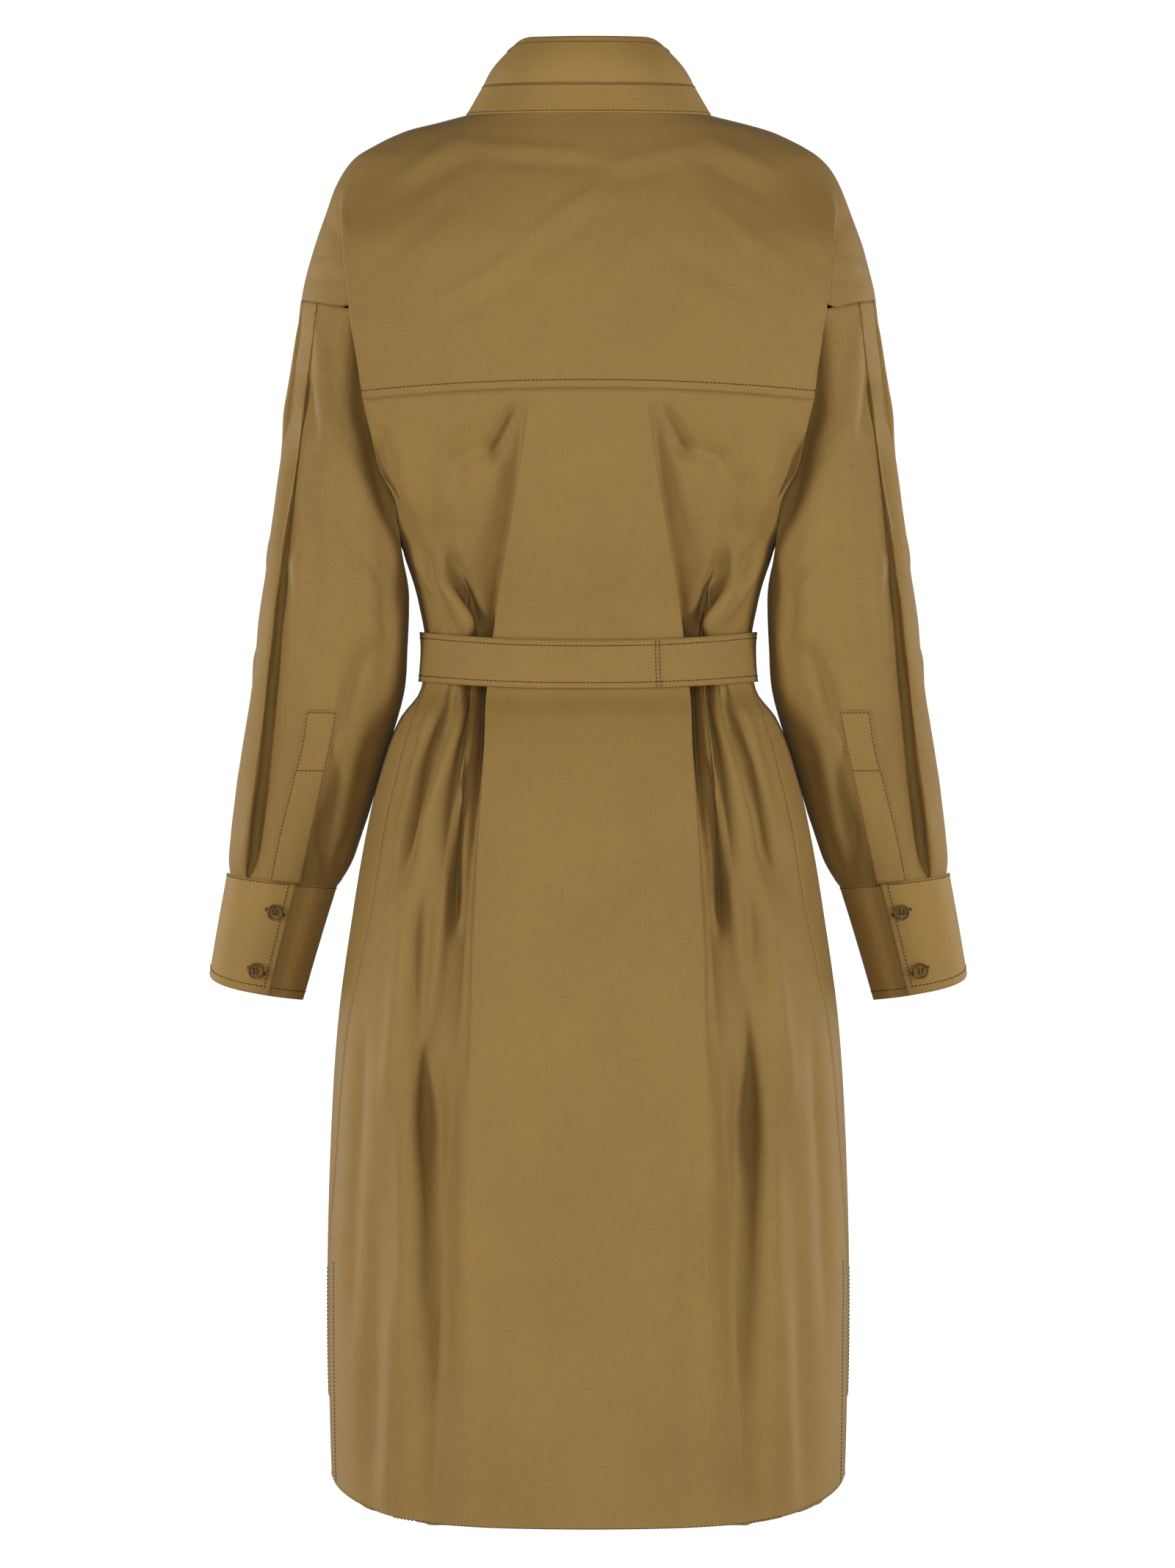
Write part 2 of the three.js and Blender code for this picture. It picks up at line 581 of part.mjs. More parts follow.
const SLEEVE_RING_TOP = SLEEVE[0].z;
const SLEEVE_END_Z = SLEEVE[SLEEVE.length - 1].z;
const SLEEVE_FOLD_HALF = 2.2;
const SLEEVE_FOLD_OVER = 1.6;
const FULL_SLEEVE_FOLD = 4; // the fold's edges turn back once it is this high
const cuffSeamZ = (angle) => lerp(CUFF.seamOuterZ, CUFF.seamInnerZ, ((1 - Math.cos(radians(angle))) / 2) ** 0.6);

// Angles round the sleeve at a height, with the height of the raised fold at each.
function sleeveColumns(z) {
  const rise = look(SLEEVE_FOLD, "rise", z);
  const samples = [];
  for (const edge of ["outer", "inner"]) {
    for (const t of FOLD_STEPS) {
      const wave = (SLEEVE_FOLD_HALF + SLEEVE_FOLD_OVER) * 0.5 * Math.sin(2 * Math.PI * t);
      const shift = lerp(SLEEVE_FOLD_HALF, -SLEEVE_FOLD_HALF, t) - wave * clamp01(rise / FULL_SLEEVE_FOLD);
      const x = look(SLEEVE_FOLD, edge, z) + shift;
      const height = rise * (edge === "outer" ? smooth(t) : 1 - smooth(t));
      samples.push({ angle: sleeveAngle(z, x), height });
    }
  }
  const first = samples[0].angle;
  const last = samples[samples.length - 1].angle;
  const around = steps(last, 360, 15).slice(1).map((angle) => ({ angle, height: 0 }));
  return [...samples, ...around, { angle: 360 + first * 0.5, height: 0 }];
}

function sleevePoint(level, j) {
  if (level.blend === undefined) {
    const { angle, height } = sleeveColumns(level.z)[j];
    return sleeveRing(level.z, angle, height).setZ(level.z + cuffDrop(level.z, angle));
  }
  const { angle, height } = sleeveColumns(SLEEVE_RING_TOP)[j];
  const ring = sleeveRing(SLEEVE_RING_TOP, angle, height);
  return armholePoint(angle % 360).lerp(ring, level.blend);
}

// The sleeve's last rings tilt into the slanted cuff seam.
const CUFF_TILT_START = -520;
function cuffDrop(z, angle) {
  const part = clamp01((CUFF_TILT_START - z) / (CUFF_TILT_START - CUFF.seamOuterZ));
  return part * (cuffSeamZ(angle) + SEAM - CUFF.seamOuterZ);
}

const SLEEVE_LEVELS = [
  ...[0, 0.12, 0.3, 0.5, 0.75].map((blend) => ({ blend })),
  ...[-400, -440, -480, -515, -545, -572, CUFF.seamOuterZ].map((z) => ({ z })),
];

const flip = (grid, side) => (side > 0 ? grid : grid.map((row) => row.map((p) => new THREE.Vector3(-p.x, p.y, p.z)).reverse()));

function sleeve(name, side) {
  const count = sleeveColumns(SLEEVE_RING_TOP).length;
  const grid = SLEEVE_LEVELS.map((level) => steps(0, count - 1, count - 1).map((j) => sleevePoint(level, Math.round(j))));
  add(name, wall(flip(grid, side), CLOTH, { closed: true }));
}

// The cuff winds round from its under layer to the edge of its upper layer.
const UNDER_START = 4; // degrees past the overlap where the under layer starts to rise
const UNDER_RISE = 34; // degrees over which it comes up level with the upper layer
function cuffPoint(angle, t) {
  const under = 1 - smooth(clamp01((angle - CUFF_OVERLAP_ANGLE - UNDER_START) / UNDER_RISE));
  const inset = under * (FUSED + LAY + LAP_ROOM);
  const round = (angle + 360) % 360;
  const inner = lerp(look(SLEEVE, "inner", SLEEVE_END_Z), CUFF_HEM.inner, t);
  const outer = lerp(look(SLEEVE, "outer", SLEEVE_END_Z), CUFF_HEM.outer, t);
  const depth = lerp(look(SLEEVE, "depth", SLEEVE_END_Z), CUFF_HEM.depth, t) - inset;
  const forward = lerp(look(SLEEVE, "forward", SLEEVE_END_Z), CUFF_HEM.forward, t);
  const [s, c] = [Math.sin(radians(angle)), Math.cos(radians(angle))];
  const hemPart = ((1 - c) / 2) ** 0.4;
  const z = lerp(cuffSeamZ(round) - SEAM, lerp(CUFF.hemOuterZ, CUFF.hemInnerZ, hemPart), t);
  return new THREE.Vector3((inner + outer) / 2 + ((outer - inner) / 2 - inset) * c, depth * s - forward, z);
}
function cuff(name, side) {
  const angles = steps(CUFF_OVERLAP_ANGLE - CUFF_UNDERLAP, CUFF_OVERLAP_ANGLE + 360, 26);
  const grid = steps(0, 1, 3).map((t) => angles.map((angle) => cuffPoint(angle, t)));
  add(name, wall(flip(grid, side), FUSED));
}

// The sleeve placket: a stitched strip above the cuff's opening.
const SLEEVE_PLACKET = [
  { z: -470, inner: 197, outer: 222 },
  { z: -498, inner: 202.5, outer: 226 },
  { z: -522, inner: 208, outer: 232.5 },
  { z: -565, inner: 218.5, outer: 244 },
  { z: -598, inner: 227, outer: 251.5 },
];
function sleevePlacket(name, side) {
  const heights = steps(SLEEVE_PLACKET[0].z, CUFF.seamOuterZ + 0.4, 6);
  const grid = heights.map((z) => {
    const [inner, outer] = [look(SLEEVE_PLACKET, "inner", z), look(SLEEVE_PLACKET, "outer", z)];
    return steps(outer, inner, 3).map((x) => {
      const angle = sleeveAngle(z, x);
      return sleeveRing(z, angle).setZ(z + cuffDrop(z, angle));
    });
  });
  add(name, wall(flip(grid, side), FUSED, { lift: LAY + FUSED + 0.3 }));
}

// The stand and the collar rise from the neck seam and lean inwards.
const STAND_TOP = { width: 83, back: 54, front: 73, height: 24.4 };
const COLLAR_TOP = { width: 60, back: 46, front: 62 };
const STAND_LAP = { angle: 166, width: 10, room: 0.6 }; // its end lifts over the other at the button
const STAND_CLEARANCE = 0.4;
function neckRing(angle, size, lift = 0) {
  const [s, c] = [Math.sin(radians(angle)), Math.cos(radians(angle))];
  const depth = c >= 0 ? size.back : size.front;
  return new THREE.Vector3((size.width + lift) * s, (depth + lift) * c, -BODY[0].dip * clamp01(-c) ** 1.5);
}
const STAND_START = -176;
const STAND_END = 190;
function standPoint(angle, t) {
  const lap = smooth(clamp01((angle - STAND_LAP.angle) / STAND_LAP.width)) * (FUSED + LAY + STAND_LAP.room);
  const low = neckRing(angle, BODY[0], lap);
  const high = neckRing(angle, STAND_TOP, lap);
  low.z += STAND_CLEARANCE;
  high.z += STAND_TOP.height;
  return low.lerp(high, t);
}
function stand() {
  const angles = steps(STAND_END, STAND_START, 36);
  const grid = steps(1, 0, 2).map((t) => angles.map((angle) => standPoint(angle, t)));
  add("collar_stand", wall(grid, FUSED));
}
const COLLAR_END = 168;
const COLLAR_HEIGHT = { back: 36.6, side: 29.6, point: 51.6 };
const COLLAR_BOW = 3;
function collarHeight(angle) {
  const toSide = smooth(clamp01((angle - 48) / 42));
  const toPoint = smooth(clamp01((angle - 100) / (COLLAR_END - 100)));
  return lerp(COLLAR_HEIGHT.back, COLLAR_HEIGHT.side, toSide) + (COLLAR_HEIGHT.point - COLLAR_HEIGHT.side) * toPoint;
}
function collarPoint(angle, t) {
  const low = neckRing(angle, STAND_TOP).setZ(neckRing(angle, STAND_TOP).z + STAND_TOP.height + 2 * SEAM);
  const high = neckRing(angle, COLLAR_TOP);
  high.z += STAND_TOP.height + collarHeight(Math.abs(angle));
  const p = low.lerp(high, t);
  const bow = COLLAR_BOW * Math.sin(Math.PI * t);
  return p.add(new THREE.Vector3(p.x, p.y, 0).normalize().multiplyScalar(bow));
}
function collar() {
  const angles = steps(COLLAR_END, -COLLAR_END, 34);
  const grid = steps(1, 0, 4).map((t) => angles.map((angle) => collarPoint(angle, t)));
  add("collar", wall(grid, FUSED));
}

// The belt lies round the waist, a little higher at the sides, and ties in front.
const BELT_PROUD = 3.4;
const BELT_FRONT_PROUD = 2.2; // more over the button band
function beltPoint(angle, t) {
  const [s, c] = [Math.sin(radians(angle)), Math.cos(radians(angle))];
  const rise = BELT_SIDE_RISE * s * s * (1 - 0.15 * t);
  const z = BELT_TOP_Z + rise - BELT_HEIGHT * t;
  const proud = BELT_PROUD + BELT_FRONT_PROUD * smooth(clamp01(-c));
  const p = section(z, angle);
  const out = new THREE.Vector3(p.x * 0.55, p.y, 0).normalize();
  return p.addScaledVector(out, proud).setZ(z);
}
function belt() {
  const grid = steps(0, 1, 2).map((t) => steps(180, -180, 44).slice(0, -1).map((angle) => beltPoint(angle, t)));
  add("belt", wall(grid, FUSED, { closed: true }));
}
const KNOT = { width: 21, depth: 11, height: 18 };
function knot() {
  const front = beltPoint(180, 0.5);
  const geometry = new THREE.SphereGeometry(1, 14, 10).scale(KNOT.width, KNOT.depth, KNOT.height);
  geometry.translate(0, front.y - KNOT.depth - LAY, front.z);
  add("belt_knot", geometry);
}
const TAIL_TOP_Z = BELT_TOP_Z - 34;
const TAIL_CENTRE = { top: 27, end: 40 }; // distance from the centre line
const TAIL_PROUD = { top: BELT_PROUD + BELT_FRONT_PROUD + LAY + FUSED, end: 6, drop: 0.2 };
function beltTail(name, side, length) {
  const grid = steps(0, 1, 8).map((t) => {
    const z = TAIL_TOP_Z - length * t;
    const centre = side * lerp(TAIL_CENTRE.top, TAIL_CENTRE.end, t);
    const proud = lerp(TAIL_PROUD.top, TAIL_PROUD.end, smooth(clamp01(t / TAIL_PROUD.drop)));
    return steps(-1, 1, 2).map((across) => {
      const x = centre + (across * BELT_HEIGHT) / 2;
      const p = section(z, 180 - angleAt(z, x));
      return new THREE.Vector3(x, p.y - proud, z);
    });
  });
  add(name, wall(grid, FUSED));
}

// A button with a raised rim, seated at a point with its back to the cloth.
function button(name, point, normal) {
  const [r, d] = [BUTTON_RADIUS, BUTTON_DEPTH];
  const profile = [
    [0, 0],
    [r * 0.82, 0],
    [r, d * 0.35],
    [r * 0.97, d * 0.8],
    [r * 0.8, d],
    [r * 0.62, d * 0.7],
    [0, d * 0.6],
  ].map(([x, y]) => new THREE.Vector2(x, y));
  const geometry = new THREE.LatheGeometry(profile, 12);
  const mesh = new THREE.Mesh(geometry, BUTTON_MATERIAL);
  mesh.quaternion.setFromUnitVectors(new THREE.Vector3(0, 1, 0), normal);
  mesh.position.copy(point);
  mesh.name = name;
  dress.add(mesh);
}
const CUFF_BUTTONS = [
  { angle: 91, t: 0.27 },
  { angle: 85, t: 0.8 },
];
function cuffButtons(side, label) {
  CUFF_BUTTONS.forEach(({ angle, t }, i) => {
    const over = angle + 360;
    const at = cuffPoint(over, t);
    const across = cuffPoint(over + 4, t).sub(cuffPoint(over - 4, t));
    const down = cuffPoint(over, t + 0.1).sub(cuffPoint(over, t - 0.1));
    const normal = down.cross(across).normalize();
    at.addScaledVector(normal, LAY);
    if (side < 0) {
      at.x *= -1;
      normal.x *= -1;
    }
    button(`cuff_button_${label}_${i + 1}`, at, normal);
  });
}
const FRONT_BUTTON_Z = [-105, -165, -235, -310, -380, -500, -600, -700];
function frontButtons() {
  const line = FRONT_HEIGHTS.map((z) => section(z, 180));
  FRONT_BUTTON_Z.forEach((z, i) => {
    const below = line.findIndex((p) => p.z < z);
    const slope = line[below].clone().sub(line[below - 1]);
    const at = line[below - 1].clone().addScaledVector(slope, (z - line[below - 1].z) / slope.z);
    const normal = new THREE.Vector3(0, slope.z, -slope.y).normalize();
    at.addScaledVector(normal, LAY + FUSED + LAY + SEAM);
    button(`front_button_${i + 1}`, at, normal);
  });
  const at = standPoint(180, 0.5);
  const slope = standPoint(180, 0).sub(standPoint(180, 1));
  const normal = new THREE.Vector3(0, slope.z, -slope.y).normalize();
  button("stand_button", at.addScaledVector(normal, LAY), normal);
}

backPanel();
yoke();
frontPanel("front_right", 1, true);
frontPanel("front_left", -1, false);
frontPlacket(FRONT_HEIGHTS);
for (const [side, label] of [
  [1, "right"],
  [-1, "left"],
]) {
  sleeve(`sleeve_${label}`, side);
  sleevePlacket(`sleeve_placket_${label}`, side);
  cuff(`cuff_${label}`, side);
  cuffButtons(side, label);
}
stand();
collar();
belt();
knot();
beltTail("belt_tail_right", 1, BELT_TAIL_LENGTHS[0]);
beltTail("belt_tail_left", -1, BELT_TAIL_LENGTHS[1]);
frontButtons();

export default dress;
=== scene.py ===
import math
import bpy
import bmesh
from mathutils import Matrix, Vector, noise


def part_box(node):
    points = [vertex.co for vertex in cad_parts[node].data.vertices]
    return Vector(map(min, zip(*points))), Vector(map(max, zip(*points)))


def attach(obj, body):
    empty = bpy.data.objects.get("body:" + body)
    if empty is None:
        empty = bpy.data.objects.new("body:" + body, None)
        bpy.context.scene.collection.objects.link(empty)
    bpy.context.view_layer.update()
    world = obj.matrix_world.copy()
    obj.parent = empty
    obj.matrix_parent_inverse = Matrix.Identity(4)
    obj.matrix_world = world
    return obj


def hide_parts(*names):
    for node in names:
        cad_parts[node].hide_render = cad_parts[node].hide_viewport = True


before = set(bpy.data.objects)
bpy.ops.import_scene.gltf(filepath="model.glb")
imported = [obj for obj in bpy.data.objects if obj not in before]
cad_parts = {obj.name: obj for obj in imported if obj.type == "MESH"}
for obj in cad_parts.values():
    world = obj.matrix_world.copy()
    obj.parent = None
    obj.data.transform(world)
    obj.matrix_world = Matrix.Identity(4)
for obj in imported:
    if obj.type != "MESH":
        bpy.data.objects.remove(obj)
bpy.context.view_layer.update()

print("frame loaded:", len(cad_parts), "nodes")

# Lengths in the tables are millimetres, as on the pattern; meshes are made in metres
mm = 0.001
scene = bpy.context.scene


def table(names, rows):
    return [dict(zip(names.split(), row)) for row in rows]


lookCache = {}


def look(rows, column, z):
    # value of a column at a level, on a smooth curve through the rows, which run downwards
    cacheKey = (id(rows), column, round(z, 4))
    if cacheKey in lookCache:
        return lookCache[cacheKey]
    index = next((i for i, row in enumerate(rows) if row["z"] <= z), None)
    if index is None:
        value = rows[-1][column]
    elif index == 0:
        value = rows[0][column]
    else:
        a, b = rows[index - 1], rows[index]
        before, after = rows[max(index - 2, 0)], rows[min(index + 1, len(rows) - 1)]
        span = b["z"] - a["z"]
        t = (z - a["z"]) / span
        slopeA = (b[column] - before[column]) / (b["z"] - before["z"]) * span
        slopeB = (after[column] - a[column]) / (after["z"] - a["z"]) * span
        value = ((2 * t ** 3 - 3 * t ** 2 + 1) * a[column] + (t ** 3 - 2 * t ** 2 + t) * slopeA
                 + (3 * t ** 2 - 2 * t ** 3) * b[column] + (t ** 3 - t ** 2) * slopeB)
    lookCache[cacheKey] = value
    return value


def lerp(a, b, t):
    return a + (b - a) * t


def lerpPair(a, b, t):
    return lerp(a[0], b[0], t), lerp(a[1], b[1], t)


def clamp(t):
    return min(1.0, max(0.0, t))


def smooth(t):
    t = clamp(t)
    return t * t * (3 - 2 * t)


def steps(start, end, count):
    return [lerp(start, end, i / count) for i in range(count + 1)]


# Driving sizes; levels are heights from the neck seam, negative downwards. The nodes' names have
# the sides swapped: pieces named right lie at +x, which is the wearer's own left
dv = {
    "cloth": 0.9,            # thickness of the shells, a little less than the solids' walls
    "fused": 1.4,            # the same where the cloth is interlined
    "lay": 0.4,              # gap under a piece that lies on a panel
    "beltHeight": 38,
    "placketWidth": 30,
    "yokeSeam": -217,
    "yokeSeamDrop": 9,
    "sleeveSeam": -146,
    "underarm": -336,
    "slit": -904,
    "beltTop": -415,
    "beltMiddle": -434,
    "beltSideRise": 7,
    "backHem": -1110,
    "frontHem": -1046,
    "hemCornerDrop": 48,
}

# Level sections of the body: half width, depths, how far the front dips, superellipse exponent.
# From -456 to -560 it is a few millimetres wider than the solids, where the skirt meets the sleeves
bodyTable = table("z width back front dip round", [
    (0, 97, 60, 78, 62, 2.0), (-5, 117, 63, 84, 64, 1.75), (-12, 143, 67, 90, 66, 1.6),
    (-23, 167, 72, 97, 65, 1.6), (-34, 184, 76, 102, 62, 1.7), (-52, 197, 82, 108, 54, 1.8),
    (-77, 207, 88, 113, 42, 1.9), (-111, 219, 93, 119, 24, 2.0), (-146, 227, 96, 124, 8, 2.1),
    (-190, 230, 97, 128, 0, 2.2), (-260, 200, 95, 128, 0, 2.3), (-336, 150, 88, 120, 0, 2.3),
    (-352, 144, 85, 116, 0, 2.3), (-373, 137, 80, 109, 0, 2.3), (-390, 133, 75, 102, 0, 2.3),
    (-412, 129, 70, 97, 0, 2.3), (-434, 129.5, 70.5, 97, 0, 2.3), (-456, 133.5, 72.5, 98.5, 0, 2.3),
    (-475, 148, 87, 106, 0, 2.3), (-505, 160.5, 100, 114, 0, 2.3), (-560, 174, 113, 124, 0, 2.3),
    (-630, 186, 124, 132, 0, 2.3), (-720, 198, 132, 136, 0, 2.3), (-840, 204.5, 138, 138, 0, 2.3),
    (-960, 206, 142, 139, 0, 2.3), (-1120, 202, 144, 139, 0, 2.3),
])
armholeFold = table("z edge edgeBack under depth", [
    (-40, 180, 46, 0, 0), (-61, 193, 48, 2, 4), (-97, 193, 62, 6, 10), (-156, 187, 74, 9, 17),
    (-220, 176, 76, 12, 23), (-268, 166, 72, 13, 30), (-315, 155, 66, 9, 40), (-336, 150, 60, 4, 44),
])
# Back folds: distance from the centre, step height going outwards, half width, overhang, and how
# deep the cloth beyond dives under the fold and over what reach it comes back up
centrePleat = table("z at rise half over sink reach", [
    (-210, 46, -1, 6, 0, 0, 12), (-258, 51, -5, 4, 1, 3, 16), (-306, 57, -7, 3, 2, 5, 18),
    (-353, 65, -7, 3, 2, 9, 16), (-390, 71, -7, 3, 2, 15, 12), (-412, 74, -7, 3, 2, 20, 10),
    (-454, 80, -9, 2.5, 1, 26, 5), (-503, 82, -10, 2.5, 1, 24, 5.5), (-575, 87, -9, 3, 1, 16, 8),
    (-650, 91, -8, 5, 1, 9, 13), (-720, 93, -8, 8, 1, 5, 16), (-810, 97, -7, 13, 0, 2, 18),
    (-905, 101, -4, 17, 0, 0, 16), (-1120, 106, -2, 18, 0, 0, 16),
])
innerTuck = table("z at rise half over sink reach", [
    (-210, 66, 0, 9, 0, 0, 10), (-300, 88, 1, 9, 0, 0, 10), (-353, 104, 3, 6, 0, 4, 9),
    (-384, 98, 6, 4, 1, 10, 7), (-412, 90, 8, 3, 2, 14, 6), (-454, 91, 7, 3, 2, 17, 6),
    (-503, 97, 10, 4, 2, 16, 8), (-560, 104, 8, 5, 0, 11, 11), (-650, 112, 7, 9, 0, 4, 14),
    (-810, 130, 7, 14, 0, 0, 12), (-905, 131, 5, 14, 0, 0, 12), (-1120, 134, 2, 14, 0, 0, 12),
])
outerTuck = table("z at rise half over sink reach", [
    (-210, 110, 0, 8, 0, 0, 10), (-353, 122, 1, 5, 0, 3, 8), (-384, 115, 4, 4, 0, 7, 7),
    (-412, 105, 1, 3, 0, 9, 6), (-454, 106, -4, 3, 0, 10, 7), (-503, 121, -6, 5, 0, 9, 9),
    (-560, 131, -4, 8, 0, 6, 12), (-650, 150, -2, 12, 0, 2, 12), (-810, 168, -2, 12, 0, 0, 10),
    (-1120, 170, -1, 12, 0, 0, 10),
])
sideSeam = table("z at", [
    (-260, 168), (-280, 161), (-301, 156), (-320, 152), (-336, 149), (-352, 142.5), (-373, 135),
    (-390, 131), (-412, 127), (-450, 129.5), (-475, 138), (-505, 147), (-560, 160), (-617, 169),
    (-720, 189), (-836, 199.5), (-904, 205), (-1120, 201.5),
])
sleeveTable = table("z inner outer depth forward", [
    (-400, 141.5, 260, 62, 4), (-447, 144.5, 265, 61, 9), (-480, 152, 269, 59, 13),
    (-535, 169, 276, 53, 20), (-575, 184, 281, 47, 26), (-605, 199, 286, 40, 30),
])
frontArmhole = table("z at", [(-146, 210), (-190, 193), (-240, 177), (-290, 163), (-344, 147)])
sleeveFold = table("z inner outer rise", [
    (-250, 229, 240, 0), (-363, 242, 255, 2), (-431, 249, 260, 4), (-512, 257, 270, 6),
    (-575, 267, 279, 6), (-605, 270, 283, 5),
])


def section(z, angle):
    power = 2 / look(bodyTable, "round", z)
    s, c = math.sin(math.radians(angle)), math.cos(math.radians(angle))
    depth = look(bodyTable, "back" if c >= 0 else "front", z)
    x = look(bodyTable, "width", z) * math.copysign(abs(s) ** power, s)
    y = depth * math.copysign(abs(c) ** power, c)
    forward = clamp(-y / look(bodyTable, "front", z))
    return Vector((x, y, z - look(bodyTable, "dip", z) * forward ** 1.5))


def angleAt(z, x):
    part = clamp(abs(x) / look(bodyTable, "width", z))
    return math.degrees(math.asin(part ** (look(bodyTable, "round", z) / 2)))


def backFlat(z, edge, plan):
    # distances and heights across one side of the back panel, from the centre outwards
    gap = 1.5
    samples, past = [(0.0, 0.0)], []

    def level(x):
        return sum(rise - sink * math.exp((end - x) / reach) for end, rise, sink, reach in past)
    for fold, (plain, across) in zip((centrePleat, innerTuck, outerTuck), plan):
        at, half, over, rise = (look(fold, k, z) for k in ("at", "half", "over", "rise"))
        sink, reach = look(fold, "sink", z), look(fold, "reach", z)
        before = samples[-1][0]
        end = min(at + half, edge - gap)
        start = min(max(at - half, before + gap), end - gap)
        samples += [(x, level(x)) for x in steps(before, start, plain)[1:-1]]
        turn = clamp(over / 2) * (half + over) * 0.5
        for t in steps(0, 1, across):
            x = lerp(start, end, t)
            drop = smooth((t - 0.2) / 0.8)
            samples.append((x + turn * math.sin(2 * math.pi * t), level(x) + (rise - sink) * drop))
        past.append((end, rise, sink, reach))
    return samples + [(x, level(x)) for x in steps(samples[-1][0], edge, plan[-1][0])[1:]]


def foldPoint(z):
    edge = Vector((look(armholeFold, "edge", z), look(armholeFold, "edgeBack", z), z))
    seam = Vector((edge.x - look(armholeFold, "under", z), edge.y - look(armholeFold, "depth", z), z))
    return edge, seam


def backDepth(z, x, edge):
    back = look(bodyTable, "back", z)
    return back - (back - edge.y) * clamp(abs(x) / edge.x) ** 3.2


def turnUnder(z, count):
    edge, seam = foldPoint(z)
    bulge = Vector((edge.x + 2, lerp(edge.y, seam.y, 0.45), z))
    return [edge.lerp(bulge, t).lerp(bulge.lerp(seam, t), t) for t in steps(0, 1, count)[1:]]


def hemZ(lowest, x):
    part = clamp(abs(x) / look(bodyTable, "width", lowest))
    return lowest + dv["hemCornerDrop"] * (1 - (1 - part ** 5) ** 0.5) * 0.85 + 6 * part * part


def mirrored(half):
    return list(reversed(half[1:])) + [Vector((-p.x, p.y, p.z)) for p in half]


# Creases: soft troughs (-) and ridges (+) placed on a piece, from one end to the other,
# at x and z, with a half width, a depth and a bend
def creaseTable(rows):
    return table("x1 z1 x2 z2 width depth bend", rows)


def creaseHeight(creases, x, z):
    total = 0.0
    for c in creases:
        dx, dz = c["x2"] - c["x1"], c["z2"] - c["z1"]
        px, pz = x - c["x1"], z - c["z1"]
        length2 = dx * dx + dz * dz
        t = (px * dx + pz * dz) / length2
        if t <= 0 or t >= 1:
            continue
        away = (px * dz - pz * dx) / math.sqrt(length2) / c["width"] + c["bend"] * (t - t * t) * 4
        if abs(away) < 2.5:
            fade = smooth(t / 0.3) * smooth((1 - t) / 0.3)
            total += c["depth"] * fade * math.exp(-away * away * 1.6)
    return total


def gridNormals(grid, closed):
    rows, columns = len(grid), len(grid[0])
    normals = []
    for i in range(rows):
        up, low = grid[max(i - 1, 0)], grid[min(i + 1, rows - 1)]
        row = []
        for j in range(columns):
            left = grid[i][(j - 1) % columns if closed else max(j - 1, 0)]
            right = grid[i][(j + 1) % columns if closed else min(j + 1, columns - 1)]
            row.append((low[j] - up[j]).cross(right - left).normalized())
        normals.append(row)
    return normals


def raised(grid, heightAt, closed=False):
    # the grid moved out along its normals by a height at each point
    normals = gridNormals(grid, closed)
    return [[p + n * heightAt(p, n) for p, n in zip(row, ns)] for row, ns in zip(grid, normals)]


def flipped(grid, side):
    return grid if side > 0 else [[Vector((-p.x, p.y, p.z)) for p in reversed(row)] for row in grid]


grids = {}       # each piece's outer surface, for the stitches that follow its edges


def clothPiece(name, grid, thickness, material, closed=False, keep=None):
    # a thin shell whose outer face is the grid; closed joins its last column to the first
    grids[name] = grid
    rows, columns = len(grid), len(grid[0])
    mesh = bpy.data.meshes.new(name)
    verts = [tuple(p * mm) for row in grid for p in row]
    faces, kept = [], []
    for i in range(rows - 1):
        for j in range(columns if closed else columns - 1):
            if keep is None or keep(i, j):
                k = (j + 1) % columns
                upper, lower = i * columns, (i + 1) * columns
                faces.append((upper + j, lower + j, lower + k, upper + k))
                kept.append((i, j))
    mesh.from_pydata(verts, [], faces)
    # UVs run along the cloth in metres, from lengths along the middle row and column
    middle, half = grid[rows // 2], columns // 2
    across, down = [0.0], [0.0]
    for j in range(columns):
        across.append(across[-1] + (middle[(j + 1) % columns] - middle[j]).length * mm)
    for i in range(rows - 1):
        down.append(down[-1] + (grid[i + 1][half] - grid[i][half]).length * mm)
    uv = mesh.uv_layers.new(name="cloth").data
    for f, (i, j) in enumerate(kept):
        for corner, (a, b) in enumerate(((i, j), (i + 1, j), (i + 1, j + 1), (i, j + 1))):
            uv[f * 4 + corner].uv = (across[b], -down[a])
    piece = bpy.data.objects.new(name, mesh)
    scene.collection.objects.link(piece)
    bm = bmesh.new()
    bm.from_mesh(mesh)
    bmesh.ops.delete(bm, geom=[v for v in bm.verts if not v.link_faces], context="VERTS")
    bm.to_mesh(mesh)
    bm.free()
    for polygon in mesh.polygons:
        polygon.use_smooth = True
    bpy.ops.object.select_all(action="DESELECT")
    bpy.context.view_layer.objects.active = piece
    piece.select_set(True)
    wall = piece.modifiers.new("thickness", "SOLIDIFY")
    wall.thickness = thickness * mm
    wall.offset = -1
    wall.use_even_offset = False
    bpy.ops.object.modifier_apply(modifier=wall.name)
    piece.data.materials.append(material)
    return piece


# Materials: sockets that can be added and multiplied like numbers

